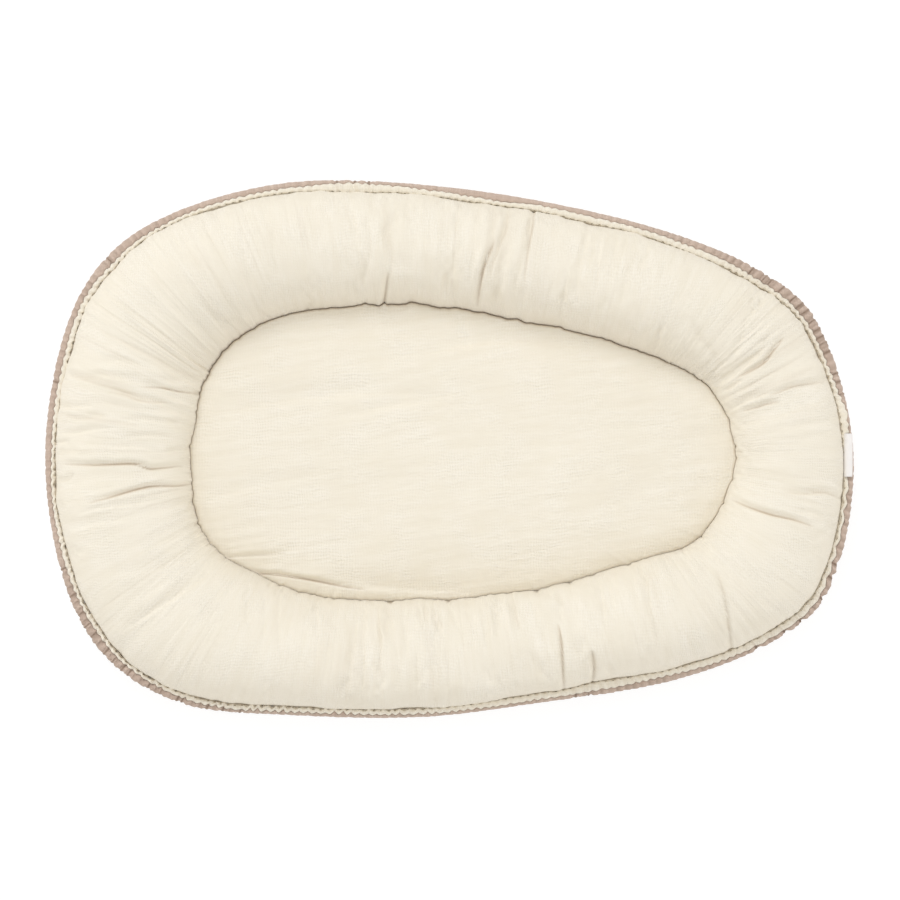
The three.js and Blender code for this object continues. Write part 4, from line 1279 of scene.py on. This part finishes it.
def padRows(low, high, softness):
    # a soft edge between two heights, then across the flat of both sides
    edge = [(rise * softness * mm, inset * softness * mm) for rise, inset in mattress["edge"]]
    flat = [inset * mm for inset in mattress["flat"]]
    lower = [(low, inset) for inset in flat] + [(low + rise, inset) for rise, inset in edge]
    upper = [(high - rise, inset) for rise, inset in edge[::-1]] + [(high, inset) for inset in flat[::-1]]
    return lower + [((low + high) / 2, 0.0)] + upper


low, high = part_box("mattress_core")
outline = nodeOutline("mattress_core", mattress["clear"] + mattress["coreInset"])
core = padRings(outline, padRows(low.z, high.z, 1.0), mattress["below"] + mattress["coreBelow"])
mattressCore = loftPiece("mattressCore", core, fibreWad, "fibre_filling")
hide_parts("mattress_core")


def bagPiece(name, outer, inner, gone, finish, slotName):
    # a bag of two skins, with its mouth where the rings and stations in gone are
    rows, size = outer.shape[:2]
    top, left, bottom, right = gone
    i, j = np.meshgrid(np.arange(rows - 1), np.arange(size), indexing="ij")
    kept = ~((i >= top) & (i < bottom) & (j >= left) & (j < right)).ravel()
    sides = gridFaces(rows, size, False)[kept]
    count = rows * size
    bridges = []
    for j in range(left, right):
        bridges += [(top * size + j, top * size + j + 1), (bottom * size + j + 1, bottom * size + j)]
    for i in range(top, bottom):
        bridges += [((i + 1) * size + left, i * size + left), (i * size + right, (i + 1) * size + right)]
    bridges = np.array([(a, b, count + b, count + a) for a, b in bridges])
    points = np.concatenate([outer.reshape(-1, 3), inner.reshape(-1, 3),
                             outer[:1].mean(1), outer[-1:].mean(1), inner[:1].mean(1), inner[-1:].mean(1)])
    fans = [fanFaces(first, size, 2 * count + k, k in (0, 3))
            for k, first in enumerate((0, count - size, count, 2 * count - size))]
    faceSets = [np.concatenate([sides, sides[:, ::-1] + count, bridges]), np.concatenate(fans)]
    return makePiece(name, points, facedOut(points, faceSets), finish, slotName,
                     cloth=points[:, :2], creases=points[:, :2])


low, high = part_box("mattress_slip")
outline = nodeOutline("mattress_slip", mattress["clear"])
rows = padRows(low.z, high.z, 1.1)
wall = mattress["cloth"]
outer = padRings(outline, rows, mattress["below"])
towards = np.linspace(1, -1, len(rows))[:, None]
inner = padRings(outline, [(z, inset + wall) for z, inset in rows], mattress["below"])
inner[..., 2] = outer[..., 2] + wall * np.sign(towards) * smooth(np.abs(towards), 0, 0.3)
mid, middleRow = mattress["stations"] // 2, len(rows) // 2
mouthHalf = np.argmax(outline[mid:, 1] < outline[mid, 1] - mattress["mouth"] / 2)
mattressSlip = bagPiece("mattressSlip", outer, inner,
                        (middleRow - 1, mid - mouthHalf, middleRow + 1, mid + mouthHalf),
                        whiteCotton, "white_cotton")
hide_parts("mattress_slip")

print("stage: lower floor cloths")

lowerFloor = {
    "stations": 180,
    "columns": 44,
    "seamGap": 0.3 * mm,
    "sag": 1.0 * mm,
    "waves": [(24, 60, 0.5, 96), (9, 30, 0.25, 97), (4.5, 22, 0.14, 98)],  # pitches, height, seed
    "stitchInset": 2.4 * mm,
    "stitchPoints": 60,
}


def lowerFloorHalf(name, node, side):
    # a cloth with a straight edge beside the zip and the rest of it round the floor
    low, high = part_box(node)
    straight = high.x if side < 0 else low.x
    rim = between(innerSeam, 1024, True)
    rim = rim - unit(rim - floorCentre) * lowerFloor["seamGap"]
    inside = (rim[:, 0] - straight) * side > 0.3 * mm
    first = np.flatnonzero(inside & ~np.roll(inside, 1))[0]
    arc = between(np.roll(rim, -first, 0)[:inside.sum()], lowerFloor["stations"], False)
    share = np.linspace(0, 1, len(arc))
    y = arc[0, 1] + (arc[-1, 1] - arc[0, 1]) * (0.01 + 0.98 * share)
    line = np.column_stack([np.full(len(arc), straight), y])
    across = np.linspace(0, 1, lowerFloor["columns"])
    plan = line[:, None] + (arc - line)[:, None] * across[None, :, None]
    x, y = plan[..., 0] / mm + 400, plan[..., 1] / mm + 400
    lift = sum(size * noise(x / pitch, y / length, seed) for pitch, length, size, seed in lowerFloor["waves"])
    lift = lift * mm * smooth(across, 0, 0.06) - lowerFloor["sag"] * 4 * across * (1 - across)
    upper = np.concatenate([plan, (high.z + lift)[..., None]], -1)
    lower = upper[:, ::-1] - [0, 0, high.z - low.z]
    piece = loftPiece(name, np.concatenate([upper, lower], 1), taupeGauze, "taupe_gauze", True)
    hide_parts(node)
    places = lowerFloor["stitchPoints"]
    at = straight + side * lowerFloor["stitchInset"]
    return np.column_stack([np.full(places, at), np.linspace(*line[[4, -5], 1], places),
                            np.full(places, low.z - 0.1 * mm)])


zipSeams = [
    lowerFloorHalf("lowerFloorWideEnd", "lower_floor_panel_wide_end", -1),
    lowerFloorHalf("lowerFloorNarrowEnd", "lower_floor_panel_narrow_end", 1),
]

print("stage: zip")

zipLooks = {
    "teethHalf": 3.4 * mm,
    "tape": ((0.46, 0.37, 0.31), (0.60, 0.49, 0.42)),
    "tapePitch": (0.8, 1.3),     # millimetres
    "tabStations": 48,
    "tabRings": 18,
    "tabRound": 2.2 * mm,
    "tabCrinkle": 0.3 * mm,
}
zipX = (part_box("zip_slider")[0].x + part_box("zip_slider")[1].x) / 2


def stringerFinish():
    # resin teeth near the middle of the chain, and woven tape beside them
    finish = zipResin.copy()
    finish.name = "zipStringer"
    tree = finish.node_tree
    resinShader = tree.nodes["Principled BSDF"]
    spot = addNode(tree, "ShaderNodeTexCoord").outputs["Object"]
    weave = woven(tree, inMillimetres(tree, spot), zipLooks["tapePitch"], 0.3)
    bump = addNode(tree, "ShaderNodeBump", {"Height": weave, "Strength": 0.7, "Distance": 0.25 * mm})
    dark, pale = zipLooks["tape"]
    tape = addNode(tree, "ShaderNodeBsdfPrincipled", {
        "Base Color": mixed(tree, weave, (*dark, 1), (*pale, 1)), "Roughness": 0.9,
        "Specular IOR Level": 0.2, "Normal": bump.outputs[0],
    })
    x = addNode(tree, "ShaderNodeSeparateXYZ", {0: spot}).outputs[0]
    away = maths(tree, "ABSOLUTE", maths(tree, "SUBTRACT", x, zipX))
    far = maths(tree, "GREATER_THAN", away, zipLooks["teethHalf"])
    both = addNode(tree, "ShaderNodeMixShader", {0: far, 1: resinShader.outputs[0], 2: tape.outputs[0]})
    tree.links.new(both.outputs[0], tree.nodes["Material Output"].inputs["Surface"])
    return finish


def finishNode(node, finish):
    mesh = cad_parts[node].data
    mesh.materials.clear()
    mesh.materials.append(finish)


zipStringer = stringerFinish()
for node in ("zip_stringer_wide_end", "zip_stringer_narrow_end"):
    finishNode(node, zipStringer)
for node in ("zip_bottom_stop", "zip_top_stop_wide_end", "zip_top_stop_narrow_end", "zip_slider", "zip_pull"):
    finishNode(node, zipResin)


def endTab(name, node):
    # a folded scrap of cloth over the tape's end, soft at its edges
    low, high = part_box(node)
    middle, half = (low + high) / 2, (high - low) / 2
    near = np.abs(innerSeam[:, 0] - middle.x) < half.x
    near &= innerSeam[:, 1] * middle.y > 0
    reach = np.abs(innerSeam[near, 1]).max() + 0.4 * mm      # up to the seam
    longer = (reach - abs(middle.y) - half.y) / 2
    middle.y += np.sign(middle.y) * longer
    half.y += longer
    size = zipLooks["tabStations"]
    turn = np.linspace(0, 2 * np.pi, size, endpoint=False)
    rings = []
    for v in np.sin(np.linspace(-np.pi / 2, np.pi / 2, zipLooks["tabRings"])):
        pull = zipLooks["tabRound"] * (1 - np.sqrt(1 - 0.98 * v ** 6))
        x = np.sign(np.cos(turn)) * np.abs(np.cos(turn)) ** 0.35 * (half.x - pull)
        z = np.sign(np.sin(turn)) * np.abs(np.sin(turn)) ** 0.6 * half.z * (1 - 0.5 * v ** 8)
        x = x + zipLooks["tabCrinkle"] * noise(z / mm + 5, np.full(size, v * 3 + 5), 99)
        rings.append(np.column_stack([middle.x + x, np.full(size, middle.y + v * half.y), middle.z + z]))
    piece = loftPiece(name, np.array(rings), taupeGauze, "taupe_gauze")
    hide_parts(node)


endTab("zipEndTabBottom", "zip_end_tab_bottom")
endTab("zipEndTabTop", "zip_end_tab_top")

print("stage: stitches")

stitchSizes = ("Pitch", "Stitch length", "Thread width", "Unevenness", "Seed")
stitchRows = {
    "groove": (8.4 * mm, 3.4 * mm, 0.7 * mm, 0.35, 3),
    "underside": (4.2 * mm, 3.0 * mm, 0.6 * mm, 0.1, 5),
    "zip": (3.4 * mm, 2.5 * mm, 0.5 * mm, 0.1, 7),
}


def stitchTree():
    # stitches along a line of edges, at an even pitch
    tree = bpy.data.node_groups.new("stitchRow", "GeometryNodeTree")
    kinds = ("Float", "Float", "Float", "Float", "Int")
    sockets = {}
    for name, kind in (("Line", "Geometry"), *zip(stitchSizes, kinds), ("Thread", "Material")):
        made = tree.interface.new_socket(name, in_out="INPUT", socket_type="NodeSocket" + kind)
        sockets[name] = made.identifier
    tree.interface.new_socket("Stitches", in_out="OUTPUT", socket_type="NodeSocketGeometry")
    given = addNode(tree, "NodeGroupInput").outputs
    curve = addNode(tree, "GeometryNodeMeshToCurve", {"Mesh": given["Line"]}).outputs[0]
    pitched = {"Curve": curve, "Length": given["Pitch"]}
    places = addNode(tree, "GeometryNodeResampleCurve", pitched, mode="LENGTH").outputs[0]
    ball = {"Segments": 10, "Rings": 6, "Radius": 0.5}
    stitch = addNode(tree, "GeometryNodeMeshUVSphere", ball).outputs[0]
    tangent = addNode(tree, "GeometryNodeInputTangent").outputs[0]
    turn = addNode(tree, "FunctionNodeAlignRotationToVector", {"Vector": tangent}, axis="X").outputs[0]
    least = maths(tree, "SUBTRACT", 1.0, given["Unevenness"])
    chance = {2: least, 3: 1.0, 8: given["Seed"]}
    vary = addNode(tree, "FunctionNodeRandomValue", chance, data_type="FLOAT").outputs[1]
    length = maths(tree, "MULTIPLY", vary, given["Stitch length"])
    size = addNode(tree, "ShaderNodeCombineXYZ", {
        0: length, 1: given["Thread width"], 2: given["Thread width"],
    }).outputs[0]
    sewn = addNode(tree, "GeometryNodeInstanceOnPoints", {
        "Points": places, "Instance": stitch, "Rotation": turn, "Scale": size,
    }).outputs[0]
    real = addNode(tree, "GeometryNodeRealizeInstances", {0: sewn}).outputs[0]
    real = addNode(tree, "GeometryNodeSetShadeSmooth", {0: real}).outputs[0]
    done = addNode(tree, "GeometryNodeSetMaterial", {"Geometry": real, "Material": given["Thread"]})
    addNode(tree, "NodeGroupOutput", {0: done.outputs[0]})
    return tree, sockets


stitchNodes, stitchSockets = stitchTree()


def sewRow(name, line, closed, sizes):
    mesh = bpy.data.meshes.new(name + "Line")
    edges = [(k, k + 1) for k in range(len(line) - 1)] + ([(len(line) - 1, 0)] if closed else [])
    mesh.from_pydata(line.tolist(), edges, [])
    path = addObject(name + "Line", mesh)
    nodes = path.modifiers.new("stitches", "NODES")
    nodes.node_group = stitchNodes
    nodes[stitchSockets["Thread"]] = stitchThreadPaintedShade
    for key, value in zip(stitchSizes, sizes):
        nodes[stitchSockets[key]] = value
    seen = path.evaluated_get(bpy.context.evaluated_depsgraph_get())
    made = bpy.data.meshes.new_from_object(seen)
    bpy.data.objects.remove(path)
    bpy.data.meshes.remove(mesh)
    piece = addObject(name, made)
    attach(piece, "cover")
    print(f"  {name}: {len(made.polygons)} faces")


def grooveLine(outwards, height):
    return fromGroove(atStations(outwards, height)[:, None])[::2, 0]


# Real stitches along the groove, made dark with painted shade of their needle holes
sewRow("grooveStitches", grooveLine(0.2 * mm + 0.9 * sway, 5.7 * mm + 0.4 * sway), True, stitchRows["groove"])
sewRow("undersideStitches", grooveLine(1.6 * mm, -3.6 * mm), True, stitchRows["underside"])
for seam, place in zip(zipSeams, ("WideEnd", "NarrowEnd")):
    sewRow("zipStitches" + place, seam, False, stitchRows["zip"])

print("stage: ground, lights and camera")

light = {
    "ground": 4,                     # how far it goes each way, in metres
    "groundDrop": -0.2 * mm,
    "groundLit": (0.86, 0.83, 0.78),     # what the lounger sees of it,
    "groundSeen": (0.25, 0.25, 0.25),    # and what the camera sees, with this glow
    "groundGlow": 0.82,
    "horizon": 0.60,
    "zenith": 1.0,
    "sky": (1.0, 0.985, 0.955),
    "lampColour": (0.975, 0.985, 1.0),
    "lamps": [  # name, watts, place, size
        ("key", 280.0, (-2.6, 6.8, 7.0), 4.0),
        ("leftFill", 80.0, (-8.0, -1.6, 1.6), 3.0),
        ("rightFill", 110.0, (8.0, -3.0, 1.6), 3.0),
    ],
}
groundPaint, tree, shader = newFinish("groundPaint", 0.9)
corners = [(x * light["ground"], y * light["ground"], light["groundDrop"])
           for x, y in ((-1, -1), (1, -1), (1, 1), (-1, 1))]
ground = addMesh("ground", corners, [np.array([[0, 1, 2, 3]])], groundPaint)


def seenFrom(tree):
    # 1 for rays from the camera, or that a mirror or glass sends on
    path = addNode(tree, "ShaderNodeLightPath").outputs
    some = maths(tree, "MAXIMUM", path["Is Camera Ray"], path["Is Glossy Ray"])
    return maths(tree, "MAXIMUM", some, path["Is Transmission Ray"])


shade = mixed(tree, seenFrom(tree), (*light["groundLit"], 1), (*light["groundSeen"], 1))
tree.links.new(shade, shader.inputs["Base Color"])
glow = addNode(tree, "ShaderNodeEmission", {"Strength": light["groundGlow"]})
glowing = addNode(tree, "ShaderNodeMixShader", {0: seenFrom(tree), 2: glow.outputs[0]})
both = addNode(tree, "ShaderNodeAddShader", {0: shader.outputs[0], 1: glowing.outputs[0]})
tree.links.new(both.outputs[0], tree.nodes["Material Output"].inputs["Surface"])

world = bpy.data.worlds.new("studio")
bpy.context.scene.world = world
world.use_nodes = True
tree = world.node_tree
plainSky = tree.nodes["Background"]
plainSky.inputs["Color"].default_value = (*light["sky"], 1)
towards = addNode(tree, "ShaderNodeTexCoord").outputs["Generated"]
up = addNode(tree, "ShaderNodeSeparateXYZ", {0: towards}).outputs[2]
sky = addNode(tree, "ShaderNodeMapRange", {
    "Value": up, "From Min": 0.0, "From Max": 1.0, "To Min": light["horizon"], "To Max": light["zenith"],
}).outputs[0]
tree.links.new(sky, plainSky.inputs["Strength"])
white = addNode(tree, "ShaderNodeBackground", {"Color": (1, 1, 1, 1), "Strength": 1.0})
skies = addNode(tree, "ShaderNodeMixShader", {0: seenFrom(tree), 1: plainSky.outputs[0], 2: white.outputs[0]})
tree.links.new(skies.outputs[0], tree.nodes["World Output"].inputs["Surface"])

for name, watts, place, size in light["lamps"]:
    lamp = bpy.data.lights.new(name, "AREA")
    lamp.shape, lamp.size, lamp.energy = "DISK", size, watts
    lamp.color = light["lampColour"]
    stand = addObject(name, lamp)
    stand.location = place
    stand.rotation_mode = "QUATERNION"
    stand.rotation_quaternion = (-Vector(place)).to_track_quat("-Z", "Y")

lens = bpy.data.cameras.new("camera")
lens.lens = photo["lens"]
lens.sensor_width = photo["sensor"]
lens.clip_end = 100
camera = addObject("camera", lens)
camera.location = (*photo["eye"], photo["planeHeight"] + photo["distance"])
bpy.context.scene.camera = camera
bpy.context.scene.view_settings.view_transform = "Standard"
